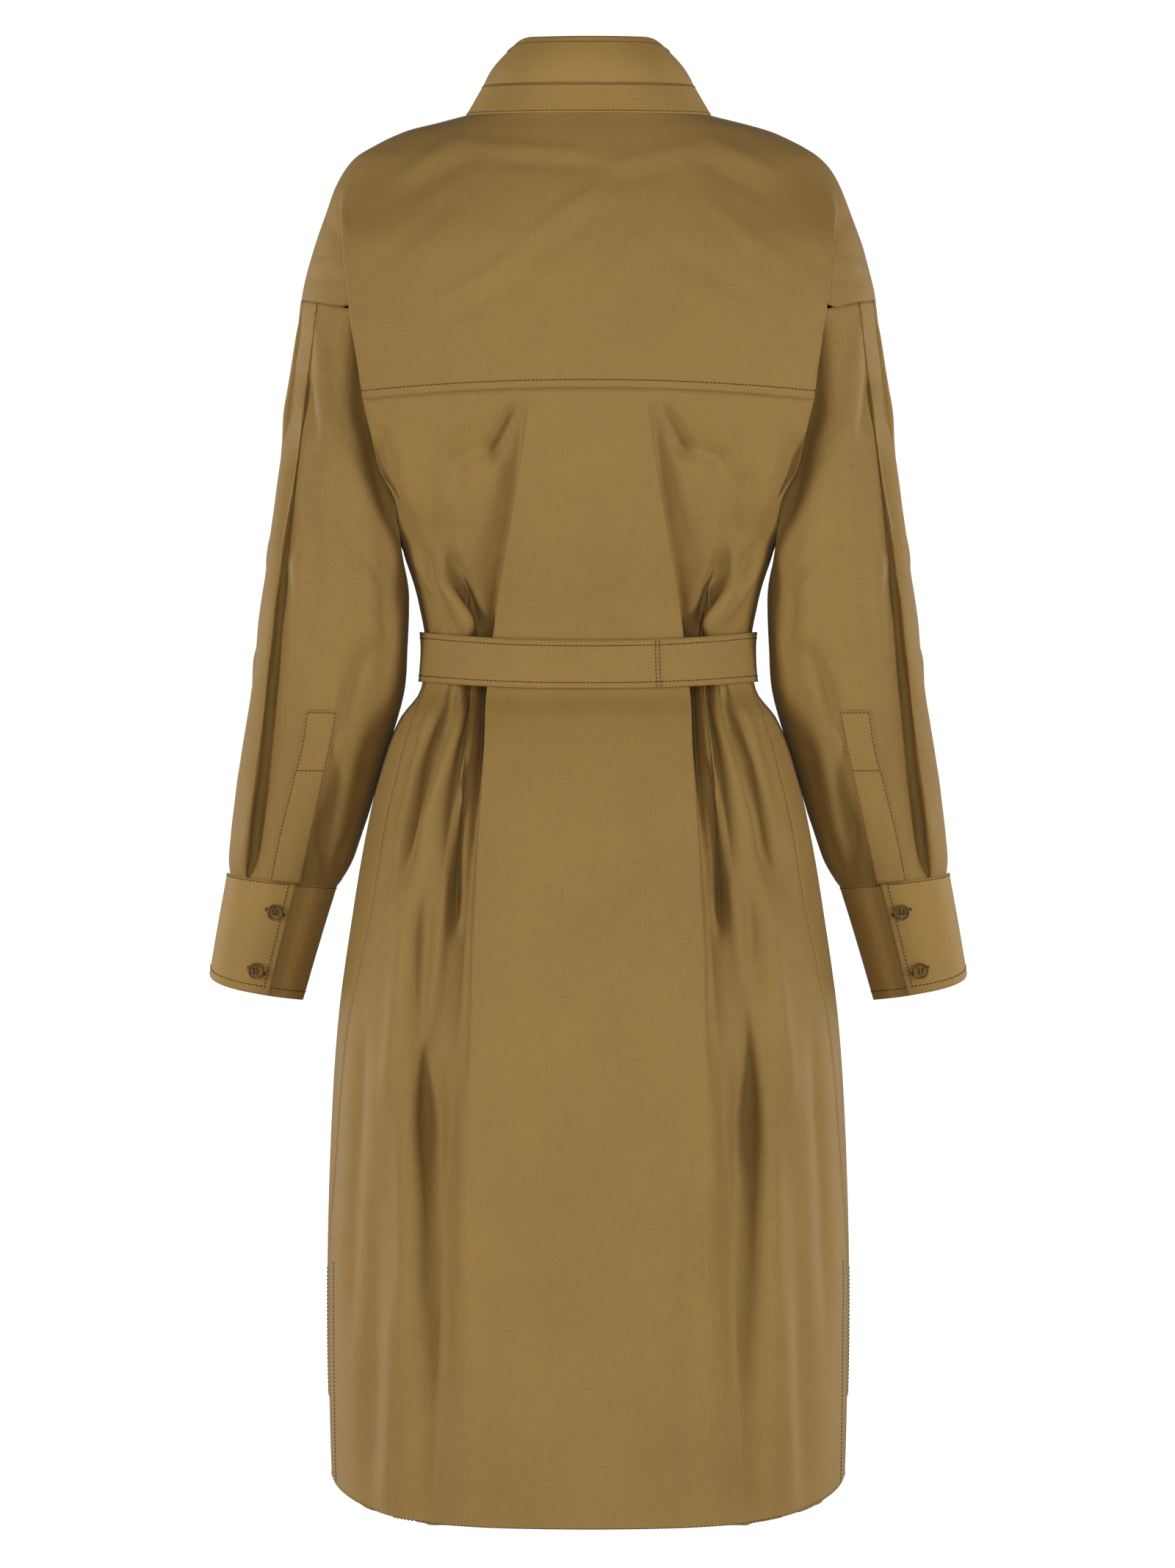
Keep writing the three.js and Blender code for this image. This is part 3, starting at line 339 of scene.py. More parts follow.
class Signal:
    def __init__(self, tree, socket):
        self.tree, self.socket = tree, socket

    def math(self, operation, other, swapped=False):
        node = self.tree.nodes.new("ShaderNodeMath")
        node.operation = operation
        pair = (other, self) if swapped else (self, other)
        for slot, value in zip(node.inputs, pair):
            if isinstance(value, Signal):
                self.tree.links.new(value.socket, slot)
            else:
                slot.default_value = value
        return Signal(self.tree, node.outputs[0])

    def __add__(self, other):
        return self.math("ADD", other)

    def __radd__(self, other):
        return self.math("ADD", other, True)

    def __sub__(self, other):
        return self.math("SUBTRACT", other)

    def __rsub__(self, other):
        return self.math("SUBTRACT", other, True)

    def __mul__(self, other):
        return self.math("MULTIPLY", other)

    def __rmul__(self, other):
        return self.math("MULTIPLY", other, True)


class Finish:
    def __init__(self, name):
        self.material = bpy.data.materials.new(name)
        self.material.use_nodes = True
        self.tree = self.material.node_tree
        self.shader = self.tree.nodes["Principled BSDF"]

    def node(self, kind, settings, inputs, output=0):
        node = self.tree.nodes.new(kind)
        for key, value in settings.items():
            if key == "stops":
                while len(node.color_ramp.elements) < len(value):
                    node.color_ramp.elements.new(0.5)
                for element, (place, color) in zip(node.color_ramp.elements, value):
                    element.position, element.color = place, color
            else:
                setattr(node, key, value)
        for key, value in inputs.items():
            if isinstance(value, Signal):
                self.tree.links.new(value.socket, node.inputs[key])
            else:
                node.inputs[key].default_value = value
        return Signal(self.tree, node.outputs[output])

    def feed(self, key, value):
        if isinstance(value, Signal):
            self.tree.links.new(value.socket, self.shader.inputs[key])
        else:
            self.shader.inputs[key].default_value = value


poplin = {
    "light": (0.285, 0.172, 0.046),
    "dark": (0.222, 0.130, 0.033),
    "roughness": 0.62,
    "threadPitch": 0.0011,      # metres, as the UVs are; threads are drawn in small bundles
    "slubWidth": 0.0016,
    "slubLength": 0.02,
    "weftWidth": 0.0014,
    "weftLength": 0.012,
    "weaveDepth": 0.00006,
}
objectSocket = 3                # the Texture Coordinate node's object output


def poplinFinish(name, shade=1.0):
    finish = Finish(name)
    uv = finish.node("ShaderNodeUVMap", {"uv_map": "cloth"}, {})
    place = finish.node("ShaderNodeTexCoord", {}, {}, objectSocket)
    soft = finish.node("ShaderNodeTexNoise", {},
                       {"Vector": place, "Scale": 9.0, "Detail": 3.0, "Roughness": 0.5})
    slubScale = (1 / poplin["slubWidth"], 1 / poplin["slubLength"], 1)
    stretched = finish.node("ShaderNodeMapping", {}, {"Vector": uv, "Scale": slubScale})
    slub = finish.node("ShaderNodeTexNoise", {}, {"Vector": stretched, "Scale": 1.0, "Detail": 2.0})
    weftScale = (1 / poplin["weftLength"], 1 / poplin["weftWidth"], 1)
    weftMap = finish.node("ShaderNodeMapping", {}, {"Vector": uv, "Scale": weftScale})
    weft = finish.node("ShaderNodeTexNoise", {}, {"Vector": weftMap, "Scale": 1.0, "Detail": 2.0})
    speck = finish.node("ShaderNodeTexNoise", {}, {"Vector": uv, "Scale": 700.0, "Detail": 1.0})
    tone = soft * 0.5 + slub * 0.35 + weft * 0.3 + speck * 0.45 - 0.3
    # a shade above 1 lightens both colours of the ramp: painted light
    light = tuple(c * shade for c in poplin["light"]) + (1,)
    dark = tuple(c * shade for c in poplin["dark"]) + (1,)
    ramp = finish.node("ShaderNodeValToRGB", {"stops": [(0.25, dark), (0.75, light)]}, {"Fac": tone})
    finish.feed("Base Color", ramp)
    finish.feed("Roughness", poplin["roughness"] + 0.12 * slub)
    finish.feed("Specular IOR Level", 0.22)
    finish.feed("Sheen Weight", 0.05)
    finish.feed("Sheen Roughness", 0.45)
    bands = {"Vector": uv, "Scale": 0.314 / poplin["threadPitch"], "Distortion": 0.6, "Detail": 1.0}
    threads = finish.node("ShaderNodeTexWave", {"bands_direction": "X"}, bands)
    height = threads * 0.25 + slub * 0.5 + weft * 0.3 + speck * 0.4
    relief = {"Strength": 0.35, "Distance": poplin["weaveDepth"] * 6, "Height": height}
    bump = finish.node("ShaderNodeBump", {}, relief)
    finish.feed("Normal", bump)
    return finish.material


def threadFinish():
    finish = Finish("thread")
    place = finish.node("ShaderNodeTexCoord", {}, {}, objectSocket)
    twist = finish.node("ShaderNodeTexNoise", {}, {"Vector": place, "Scale": 2500.0})
    stops = [(0.3, (0.035, 0.019, 0.005, 1)), (0.7, (0.075, 0.042, 0.011, 1))]
    ramp = finish.node("ShaderNodeValToRGB", {"stops": stops}, {"Fac": twist})
    finish.feed("Base Color", ramp)
    finish.feed("Roughness", 0.6)
    return finish.material


def resinFinish():
    finish = Finish("button_resin")
    place = finish.node("ShaderNodeTexCoord", {}, {}, objectSocket)
    cloud = finish.node("ShaderNodeTexNoise", {},
                        {"Vector": place, "Scale": 260.0, "Detail": 3.0, "Distortion": 1.2})
    stops = [(0.3, (0.07, 0.034, 0.006, 1)), (0.75, (0.2, 0.11, 0.022, 1))]
    ramp = finish.node("ShaderNodeValToRGB", {"stops": stops}, {"Fac": cloud})
    finish.feed("Base Color", ramp)
    finish.feed("Roughness", 0.26 + 0.15 * cloud)
    finish.feed("Specular IOR Level", 0.2)
    return finish.material


clothMaterial = poplinFinish("poplin")
beltMaterial = poplinFinish("belt_poplin")
# cuffs, collar and stand are the same cloth with a lighter base colour: painted light, where less of the
# lamps' light falls
paintedLightPoplin = poplinFinish("poplin_painted_lighter", 1.16)
threadMaterial = threadFinish()
resinMaterial = resinFinish()
print("materials ready")


# Yoke and back panel

yokeCreases = creaseTable([
    (128, -156, 48, -104, 7, 2.6, 0.3), (60, -112, -24, -48, 7, 2.4, -0.3),
    (118, -166, 40, -122, 8, -2.4, 0.3), (52, -128, -30, -66, 8, -2.2, -0.3),
    (178, -128, 96, -60, 10, -2.0, 0.2), (160, -60, 90, -14, 8, 2.6, -0.3),
    (150, -72, 80, -30, 9, -2.2, -0.3), (120, -20, -20, -34, 7, 1.8, 0.2),
    (104, -34, -50, -46, 8, -1.8, 0.2), (-160, -56, -80, -16, 8, 2.4, 0.3),
    (-150, -74, -70, -30, 9, -2.2, 0.3), (-170, -130, -84, -60, 10, 2.4, -0.3),
    (-150, -160, -50, -96, 10, -2.0, -0.2), (-96, -24, 10, -50, 8, 1.6, 0.2),
    (0, -60, -80, -40, 8, -1.6, 0.2), (60, -208, 104, -130, 14, -2.0, 0.3),
    (-64, -205, -110, -120, 14, 1.8, 0.4), (20, -212, -20, -130, 20, 1.6, 0.2),
    (30, -180, -70, -70, 16, 1.8, 0.2), (90, -200, 20, -120, 16, 1.6, 0.3),
    (-20, -190, -90, -110, 14, -1.6, 0.2), (222, -121, 188, -115, 6, 2.4, 0.0),
    (224, -132, 190, -127, 6, -2.2, 0.0), (-222, -122, -188, -114, 6, 2.2, 0.0),
    (-224, -133, -190, -127, 6, -2.0, 0.0), (214, -70, 186, -110, 7, -1.6, 0.3),
    (-214, -70, -186, -110, 7, -1.6, 0.3),
])

# seen on the left half of the photo (+x), and again with other strengths on the right half
backSideCreases = creaseTable([
    (48, -214, 80, -282, 8, -7.0, 0.0), (60, -262, 116, -280, 9, -4.5, 0.3),
    (72, -226, 128, -268, 12, 3.5, 0.3), (98, -262, 112, -350, 11, -3.5, 0.3),
    (150, -236, 132, -330, 11, 3.6, 0.4), (164, -244, 140, -336, 8, -4.0, 0.2),
    (150, -334, 90, -424, 7, 9.0, -0.4), (138, -336, 96, -424, 6, -9.0, -0.3),
    (126, -350, 86, -424, 6, 9.5, -0.3), (112, -336, 80, -424, 8, -10.0, 0.0),
    (140, -368, 116, -424, 5, -7.0, 0.0), (144, -360, 126, -424, 5, 6.0, 0.0),
    (108, -290, 98, -380, 11, 3.5, 0.2), (124, -270, 116, -350, 10, -3.0, 0.2),
    (97, -440, 152, -622, 8, -13.0, 0.5), (88, -440, 140, -600, 8, 7.0, 0.5),
    (113, -440, 160, -600, 8, 7.5, 0.5), (124, -440, 172, -650, 8, -11.0, 0.4),
    (136, -446, 188, -710, 9, 6.0, 0.3), (91, -500, 104, -660, 7, -10.0, 0.3),
    (106, -560, 134, -780, 9, 5.0, 0.2), (138, -590, 160, -800, 9, 4.5, 0.1),
    (128, -580, 126, -860, 13, -10.0, 0.2), (122, -700, 116, -1040, 15, -11.0, 0.0),
    (98, -700, 94, -980, 9, 3.0, 0.0), (144, -740, 142, -1110, 12, 4.5, 0.0),
    (176, -680, 190, -1000, 9, -4.0, 0.1), (166, -820, 172, -1130, 11, -3.5, 0.0),
    (118, -930, 124, -1140, 12, -4.0, 0.0), (84, -880, 78, -1130, 13, -3.0, 0.0),
    (152, -900, 158, -1130, 9, 3.0, 0.0),
])
backMiddleCreases = creaseTable([
    (22, -236, -30, -300, 16, 1.6, 0.2), (-10, -300, 40, -350, 14, -1.2, 0.2),
    (24, -384, -56, -404, 7, 1.2, 0.2), (-40, -370, 30, -398, 7, -1.0, 0.2),
    (24, -500, 44, -860, 20, -1.8, 0.2), (-34, -560, -26, -1040, 22, -1.6, 0.1),
    (-4, -640, 4, -1080, 18, 1.6, 0.1), (56, -700, 50, -1040, 14, 1.6, 0.1),
    (-60, -760, -56, -1120, 14, 1.4, 0.1), (30, -900, 26, -1130, 12, -1.4, 0.0),
    (-20, -960, -22, -1130, 10, 1.2, 0.0),
])


def otherSide(creases, strengths, shift):
    # the same folds on the other half, each a little stronger or weaker and a little moved
    other = []
    for k, c in enumerate(creases):
        strength = strengths[k % len(strengths)]
        slide = shift * ((k * 7) % 5 - 2)
        other.append({**c, "x1": -c["x1"] + slide * 0.5, "x2": -c["x2"] + slide, "z1": c["z1"] + slide,
                      "z2": c["z2"] - slide, "depth": c["depth"] * strength, "bend": -c["bend"]})
    return other


backOtherCreases = otherSide(backSideCreases, (0.9, 1.1, 0.8, 1.0, 1.15), 1.6)
backCreases = backSideCreases + backMiddleCreases + backOtherCreases
backValues = {
    "columns": [(12, 14), (9, 12), (9, 10), (16, 0)],   # before and across each fold, outwards
    "turn": 8,
    "rows": 200,
    "blendStart": -270,          # from here down the folded edge opens into the side seam
    "creaseFade": 16,            # the creases end this far from the side seam
    "beltCalm": 22,              # and this far from the belt's middle
    "hemInset": 2.2,
}


def backHalf(z):
    below = backBelow(z)
    if z < dv["underarm"]:
        return below
    edge, seam = foldPoint(z)
    fade = smooth((dv["yokeSeam"] - z) / 40)
    plan = backFlat(z, edge.x, backValues["columns"])
    flat = [Vector((x, backDepth(z, x, edge) + h * fade, z)) for x, h in plan]
    blend = smooth((backValues["blendStart"] - z) / (backValues["blendStart"] - dv["underarm"]))
    return [p.lerp(q, blend) for p, q in zip(flat + turnUnder(z, backValues["turn"]), below)]


def backBelow(z):
    edgeX = look(sideSeam, "at", z) - 0.02
    foldEnd = look(outerTuck, "at", z) + look(outerTuck, "half", z)
    last = min(edgeX - 5, max(edgeX * 0.9, foldEnd + 6))
    flat = []
    for x, h in backFlat(z, last, backValues["columns"]):
        fade = 1 - smooth((x / last - 0.75) / 0.25)
        flat.append(Vector((x, section(z, angleAt(z, x)).y + h * fade, z)))
    return flat + [section(z, angleAt(z, x)) for x in steps(last, edgeX, backValues["turn"])[1:]]


def rumple(p, amount):
    # broad and fine unevenness that no cloth is without
    return amount * (noise.noise(p * (1 / 70)) + 0.32 * noise.noise(p * (1 / 23)))


def makeBackPanel():
    top = dv["yokeSeam"] - 0.05
    grid = []
    for z in steps(top, dv["backHem"], backValues["rows"]):
        half = backHalf(z)
        for p in half:
            part = clamp(p.x / foldPoint(dv["yokeSeam"])[0].x)
            if z > dv["underarm"]:
                p.z -= dv["yokeSeamDrop"] * part * part * (1 - (top - z) / (top - dv["underarm"]))
            if z < dv["slit"]:
                hang = ((dv["slit"] - z) / (dv["slit"] - dv["backHem"])) ** 3
                p.z = lerp(p.z, hemZ(dv["backHem"], p.x), hang)
        grid.append(mirrored(half))

    def height(p, n):
        calm = smooth((dv["yokeSeam"] - 3 - p.z) / 25) * clamp(n.y * 1.6)
        belt = 1 - smooth(1 - abs(p.z - dv["beltMiddle"]) / backValues["beltCalm"])
        # below the underarm the panel lies level with the front along the side seam
        seam = 1
        if p.z < dv["underarm"]:
            seam = smooth((look(sideSeam, "at", p.z) - abs(p.x)) / backValues["creaseFade"])
        return calm * belt * seam * (creaseHeight(backCreases, p.x, p.z) + rumple(p, 1.3))
    piece = clothPiece("back_panel_cloth", raised(grid, height), dv["cloth"], clothMaterial)
    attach(piece, "root")
    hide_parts("back_panel")


yokeValues = {
    "flat": 60,                  # columns across the back, round its folded edge, over the cap and in front
    "turn": 10,
    "cap": 18,
    "front": 10,
    "frontSeam": 112,            # degrees round from the centre back
    "upperRows": 80,
    "lowerRows": 34,
    "foldTop": -40,              # the folded edge begins here
    "capDip": 8,                 # the seam over the sleeve's cap hangs this much lower at its ends
    "capEdge": 227,
}


def yokeHalf(z):
    yv = yokeValues
    strength = smooth((yv["foldTop"] - z) / 70)
    low = min(z, yv["foldTop"])
    edge, seam = foldPoint(low)
    edgeAngle = angleAt(z, min(edge.x, look(bodyTable, "width", z) * 0.93))
    plain = [section(z, a) for a in steps(0, edgeAngle, yv["flat"])]
    plain += [section(z, a) for a in steps(edgeAngle, 90, yv["turn"] + yv["cap"])[1:]]
    side = section(z, 90)
    reach = Vector((side.x, lerp(seam.y, side.y, 0.35), z))
    folded = [Vector((x, backDepth(z, x, edge), z)) for x in steps(0, edge.x, yv["flat"])]
    folded += turnUnder(z, yv["turn"])
    folded += [seam.lerp(reach, t).lerp(reach.lerp(side, t), t) for t in steps(0, 1, yv["cap"])[1:]]
    blended = []
    for a, b in zip(plain, folded):
        b.z = z
        blended.append(a.lerp(b, strength))
    return blended + [section(z, a) for a in steps(90, yv["frontSeam"], yv["front"])[1:]]


def makeYoke():
    yv = yokeValues
    # rows lie closer together by the neck
    heights = [-0.02 - 145.98 * t ** 1.5 for t in steps(0, 1, yv["upperRows"])]
    heights += steps(dv["sleeveSeam"], dv["yokeSeam"], yv["lowerRows"])[1:]
    backColumns = yv["flat"] + yv["turn"]
    grid = []
    for i, z in enumerate(heights):
        half = yokeHalf(z)
        for j, p in enumerate(half):
            part = clamp(p.x / foldPoint(dv["yokeSeam"])[0].x)
            if i > yv["upperRows"]:
                p.z -= dv["yokeSeamDrop"] * part * part * (i - yv["upperRows"]) / yv["lowerRows"]
            elif backColumns < j <= backColumns + yv["cap"]:
                low = smooth((-100 - z) / 46) * smooth((j - backColumns) / 3)
                p.z -= yv["capDip"] * low * clamp((yv["capEdge"] - p.x) / 40)
        grid.append(mirrored(half))
    halfColumns = (len(grid[0]) - 1) // 2

    def keep(i, j):
        if i < yv["upperRows"]:
            return True
        fromCentre = halfColumns - 1 - j if j < halfColumns else j - halfColumns
        return fromCentre < backColumns

    def height(p, n):
        calm = smooth(-p.z / 12) * smooth((p.z - dv["yokeSeam"] - 2) / 14)
        return calm * (0.7 * creaseHeight(yokeCreases, p.x, p.z) * clamp(n.y * 1.5) + rumple(p, 1.1))
    piece = clothPiece("yoke_cloth", raised(grid, height), dv["cloth"], clothMaterial, keep=keep)
    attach(piece, "root")
    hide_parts("yoke")


makeYoke()
makeBackPanel()
print("yoke and back panel made")


# Fronts and button band

frontCreases = creaseTable([
    (80, -100, 130, -250, 16, 1.6, 0.3), (-80, -100, -130, -260, 16, 1.6, -0.3),
    (100, -300, 70, -412, 9, 2.2, 0.2), (-104, -300, -72, -412, 9, 2.0, -0.2),
    (60, -330, 44, -412, 8, -1.8, 0.2), (-60, -330, -44, -412, 8, -1.8, -0.2),
    (90, -330, 84, -412, 6, -1.8, 0.0), (-90, -330, -84, -412, 6, -1.6, 0.0),
    (64, -460, 78, -640, 9, 5.0, 0.2), (-66, -460, -80, -620, 9, 5.0, -0.2),
    (80, -446, 102, -700, 9, -7.0, 0.2), (-80, -446, -102, -720, 9, -7.0, -0.2),
    (98, -450, 128, -640, 8, 5.0, 0.2), (-98, -450, -130, -660, 8, 5.0, -0.2),
    (110, -446, 146, -620, 7, -5.0, 0.3), (-112, -446, -148, -600, 7, -5.5, -0.3),
    (110, -620, 122, -1030, 14, 4.5, 0.0), (-112, -640, -124, -1030, 14, 4.5, 0.0),
    (92, -660, 98, -1060, 12, -5.0, 0.0), (-92, -680, -96, -1060, 12, -4.6, 0.0),
    (160, -700, 172, -1030, 12, -4.0, 0.0), (-160, -720, -172, -1030, 12, -4.0, 0.0),
    (136, -330, 92, -420, 6, -5.0, -0.3), (-136, -330, -92, -420, 6, -5.5, 0.3),
    (150, -240, 128, -330, 10, -3.0, 0.2), (-150, -240, -128, -330, 10, -3.0, -0.2),
    (140, -120, 60, -200, 14, -1.2, 0.2), (-140, -120, -60, -190, 14, -1.2, -0.2),
])
frontValues = {"columns": 54, "yokeRows": 34, "rows": 170, "underlap": 2.8, "halfBand": 14.5, "beltCalm": 36}
frontLevels = [-1 - 145 * t ** 1.4 for t in steps(0, 1, frontValues["yokeRows"])]
frontLevels += steps(dv["sleeveSeam"], dv["frontHem"], frontValues["rows"])[1:]


def frontHemmed(p, z):
    # below the side slits the rows bend into the shirt-tail hem
    if z < dv["slit"]:
        hang = ((dv["slit"] - z) / (dv["slit"] - dv["frontHem"])) ** 3
        p.z = lerp(p.z, hemZ(dv["frontHem"], p.x), hang)
    return p


def frontRow(z, side, upper):
    edgeX = dv["placketWidth"] / 2 - (0 if upper else 3)
    if z > dv["sleeveSeam"]:
        start = yokeValues["frontSeam"] + 0.35
    elif z > dv["underarm"] - 10:
        start = 180 - angleAt(z, look(frontArmhole, "at", z))
    else:
        start = angleAt(z, look(sideSeam, "at", z) + 0.02)
    end = 180 + angleAt(z, edgeX)
    row = []
    for t in steps(0, 1, frontValues["columns"]):
        p = section(z, lerp(start, end, 1 - (1 - t) ** 1.15))
        lap = smooth(1 - (abs(p.x) - dv["placketWidth"] / 2) / 12)
        p.y += 0 if upper else frontValues["underlap"] * lap
        p = frontHemmed(p, z)
        row.append(Vector((side * p.x, p.y, p.z)))
    return row[::-1] if side > 0 else row


def frontHeight(p, n):
    edge = smooth((abs(p.x) - 20) / 16) * smooth((-p.z - 6) / 20)
    belt = 1 - smooth(1 - abs(p.z - dv["beltMiddle"]) / frontValues["beltCalm"])
    return edge * belt * clamp(-n.y * 1.5) * (creaseHeight(frontCreases, p.x, p.z) + rumple(p, 1.3))


def makeFronts():
    for name, side, upper in (("front_right", 1, True), ("front_left", -1, False)):
        grid = [frontRow(z, side, upper) for z in frontLevels]
        piece = clothPiece(name + "_cloth", raised(grid, frontHeight), dv["cloth"], clothMaterial)
        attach(piece, "root")
        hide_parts(name)
    band = []
    for z in frontLevels:
        half = angleAt(z, frontValues["halfBand"])
        band.append([frontHemmed(section(z, angle), z) for angle in steps(180 + half, 180 - half, 8)])
    lift = dv["lay"] + dv["fused"]
    piece = clothPiece("front_band_cloth", raised(band, lambda p, n: lift), dv["fused"], clothMaterial)
    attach(piece, "root")
    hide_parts("front_placket")


makeFronts()
print("fronts made")


# Sleeves, sleeve plackets and cuffs

sleeveValues = {
    "rows": 150,
    "around": 100,
    "upperShare": 0.55,          # share of the rows above the first level of the sleeve's table
    "foldHalf": 2.2,
    "foldOver": 1.0,
    "innerSink": 1.5,            # depth beside each edge of the fold, as a share of its rise
    "outerSink": 0.9,
    "sinkReach": 17,             # degrees
    "capEnd": 75,                # degrees round the armhole where the yoke and the front end
    "frontCorner": 300,
    "innerBow": 5,
    "mirrorWidth": 420,          # twice the distance of the line that creases are mirrored on
    "tiltStart": -520,
    "gatherStart": -574,
}
cuffValues = {
    "seamOuter": -598,
    "seamInner": -609,
    "hemOuter": -677,
    "hemInner": -699,
    "top": -605,                 # level whose sleeve ring the cuff's top follows
    "inner": 226,
    "outer": 300,
    "depth": 36,
    "forward": 36,
    "overlap": 107,              # degrees
    "underlap": 30,
    "centreX": 243,
    "centreY": -30,
    "tuckedIn": 1.6,             # how far the sleeve's end lies inside the cuff's top edge
    "tuckedUnder": 1.5,
}
# degrees round the cuff and share of its height
cuffButtonPlaces = [(91, 0.27), (85, 0.8)]
sleevePlacket = table("z inner outer", [
    (-470, 197, 222), (-498, 202.5, 226), (-522, 208, 232.5), (-565, 218.5, 244), (-598, 227, 251.5),
])
sleeveCreases = creaseTable([
    (184, -130, 176, -260, 11, -8.0, 0.0), (179, -215, 145, -352, 11, -9.0, 0.0),
    (228, -190, 246, -450, 5, -7.0, 0.0), (243, -400, 267, -606, 5, -8.0, 0.0),
    (252, -420, 281, -606, 4, -4.0, 0.0), (212, -172, 198, -300, 9, 4.0, 0.3),
    (204, -240, 186, -360, 10, -4.0, 0.3), (226, -320, 232, -470, 10, 3.0, 0.2),
    (214, -250, 222, -420, 11, -2.6, -0.3), (170, -320, 165, -430, 9, 4.0, 0.2),
    (158, -360, 158, -460, 7, -4.5, 0.2), (200, -430, 186, -540, 11, 4.0, 0.3),
    (166, -410, 200, -500, 8, -4.5, 0.4), (184, -380, 150, -430, 7, 3.4, 0.2),
    (212, -540, 206, -610, 6, -4.0, 0.0), (180, -340, 158, -376, 6, -3.4, 0.1),
    (200, -350, 228, -520, 12, 2.6, 0.2), (176, -470, 200, -600, 7, 3.6, 0.2),
    (192, -490, 214, -612, 6, -4.0, 0.1), (236, -340, 212, -390, 9, 2.8, 0.3),
    (226, -196, 212, -262, 7, -3.2, 0.2), (216, -146, 208, -210, 6, 3.2, 0.0),
    (204, -560, 216, -612, 5, 3.0, 0.0), (188, -560, 204, -612, 5, -3.4, 0.0),
    (222, -400, 208, -440, 8, -2.2, 0.3),
])
# the yoke's edge over the cap of the sleeve, from the front to the back
seamEnd = yokeValues["flat"] + yokeValues["turn"]
capRow = yokeHalf(dv["sleeveSeam"])[seamEnd:seamEnd + yokeValues["cap"] + 1][::-1]


def armholePoint(angle):
    sv, yv = sleeveValues, yokeValues
    if angle <= sv["capEnd"]:
        place = angle / sv["capEnd"] * yv["cap"]
        i = min(int(place), yv["cap"] - 1)
        p = capRow[i].lerp(capRow[i + 1], place - i)
        p.z -= yv["capDip"] * clamp((yv["capEdge"] - p.x) / 40) + 0.1
        return p
    if angle < 180:
        t = (angle - sv["capEnd"]) / (180 - sv["capEnd"])
        seam = backHalf(lerp(-160, dv["underarm"], t))[-1]
        return seam + Vector((0.6 + 4 * t ** 4, -1.4 - 6 * t ** 4, -3 * t))
    if angle < sv["frontCorner"]:
        t = (angle - 180) / (sv["frontCorner"] - 180)
        z = lerp(dv["underarm"] - 2, dv["sleeveSeam"] - 4, t)
        p = section(z, 180 - angleAt(z, look(frontArmhole, "at", z)))
        return p + Vector((1 + 3 * (1 - t) ** 4, 1.2 + 6 * (1 - t) ** 4, 0))
    t = (angle - sv["frontCorner"]) / (360 - sv["frontCorner"])
    return section(dv["sleeveSeam"], lerp(yokeValues["frontSeam"], 90, t)) + Vector((0, 0, -0.1))


def sleeveRing(z, angle, lift=0):
    inner, outer = look(sleeveTable, "inner", z), look(sleeveTable, "outer", z)
    s, c = math.sin(math.radians(angle)), math.cos(math.radians(angle))
    return Vector(((inner + outer) / 2 + ((outer - inner) / 2 + lift) * c,
                   (look(sleeveTable, "depth", z) + lift) * s - look(sleeveTable, "forward", z), z))


def sleeveAngle(z, x):
    inner, outer = look(sleeveTable, "inner", z), look(sleeveTable, "outer", z)
    c = (x - (inner + outer) / 2) / ((outer - inner) / 2)
    return math.degrees(math.acos(min(1, max(-1, c))))


def cuffSeam(angle):
    part = (1 - math.cos(math.radians(angle))) / 2
    return lerp(cuffValues["seamOuter"], cuffValues["seamInner"], part ** 0.6)


def cuffDrop(z, angle):
    part = clamp((sleeveValues["tiltStart"] - z) / (sleeveValues["tiltStart"] - cuffValues["seamOuter"]))
    return part * (cuffSeam(angle) + 0.05 - cuffValues["seamOuter"])


def sleeveColumns(z):
    sv = sleeveValues
    rise = look(sleeveFold, "rise", z)
    outerSink, innerSink = rise * sv["outerSink"], rise * sv["innerSink"]
    samples = []
    for edge in ("outer", "inner"):
        for t in steps(0, 1, 12):
            wave = (sv["foldHalf"] + sv["foldOver"]) * 0.5 * math.sin(2 * math.pi * t)
            x = look(sleeveFold, edge, z) + lerp(sv["foldHalf"], -sv["foldHalf"], t) - wave * clamp(rise / 4)
            first, last = (-outerSink, rise) if edge == "outer" else (rise, -innerSink)
            samples.append((sleeveAngle(z, x), lerp(first, last, smooth(t))))
    start, end = samples[0][0], samples[-1][0]

    def level(a):
        inner, outer = (a - end) / sv["sinkReach"], (360 + start - a) / sv["sinkReach"]
        return -innerSink * math.exp(-inner) - outerSink * math.exp(-outer)
    ring = steps(end, 360, sv["around"])[1:] + [360 + start * 0.5]
    return samples + [(a, level(a)) for a in ring]


def gatheredEnd(z, a, p):
    # over its last stretch the sleeve narrows to the cuff's ring and goes in behind its edge
    start = sleeveValues["gatherStart"]
    part = smooth((start - z) / (start - cuffValues["seamOuter"])) ** 2
    ring = cuffPoint(a if a > cuffValues["overlap"] else a + 360, 0)
    centre = Vector((cuffValues["centreX"], cuffValues["centreY"], ring.z))
    inside = ring + (centre - ring).normalized() * cuffValues["tuckedIn"]
    inside.z = ring.z - cuffValues["tuckedUnder"]
    return p.lerp(inside, part)


def upperSleeveRow(blend):
    # from the armhole to the first ring of the sleeve's table
    ringTop = sleeveTable[0]["z"]
    row = []
    for a, h in sleeveColumns(ringTop):
        p = armholePoint(a % 360).lerp(sleeveRing(ringTop, a, h), blend)
        p.x -= sleeveValues["innerBow"] * math.sin(math.pi * blend) * max(0, -math.cos(math.radians(a))) ** 3
        row.append(p)
    return row


def lowerSleeveRow(z):
    row = []
    for a, h in sleeveColumns(z):
        p = sleeveRing(z, a, h)
        p.z += cuffDrop(z, a)
        row.append(gatheredEnd(z, a % 360, p))
    return row


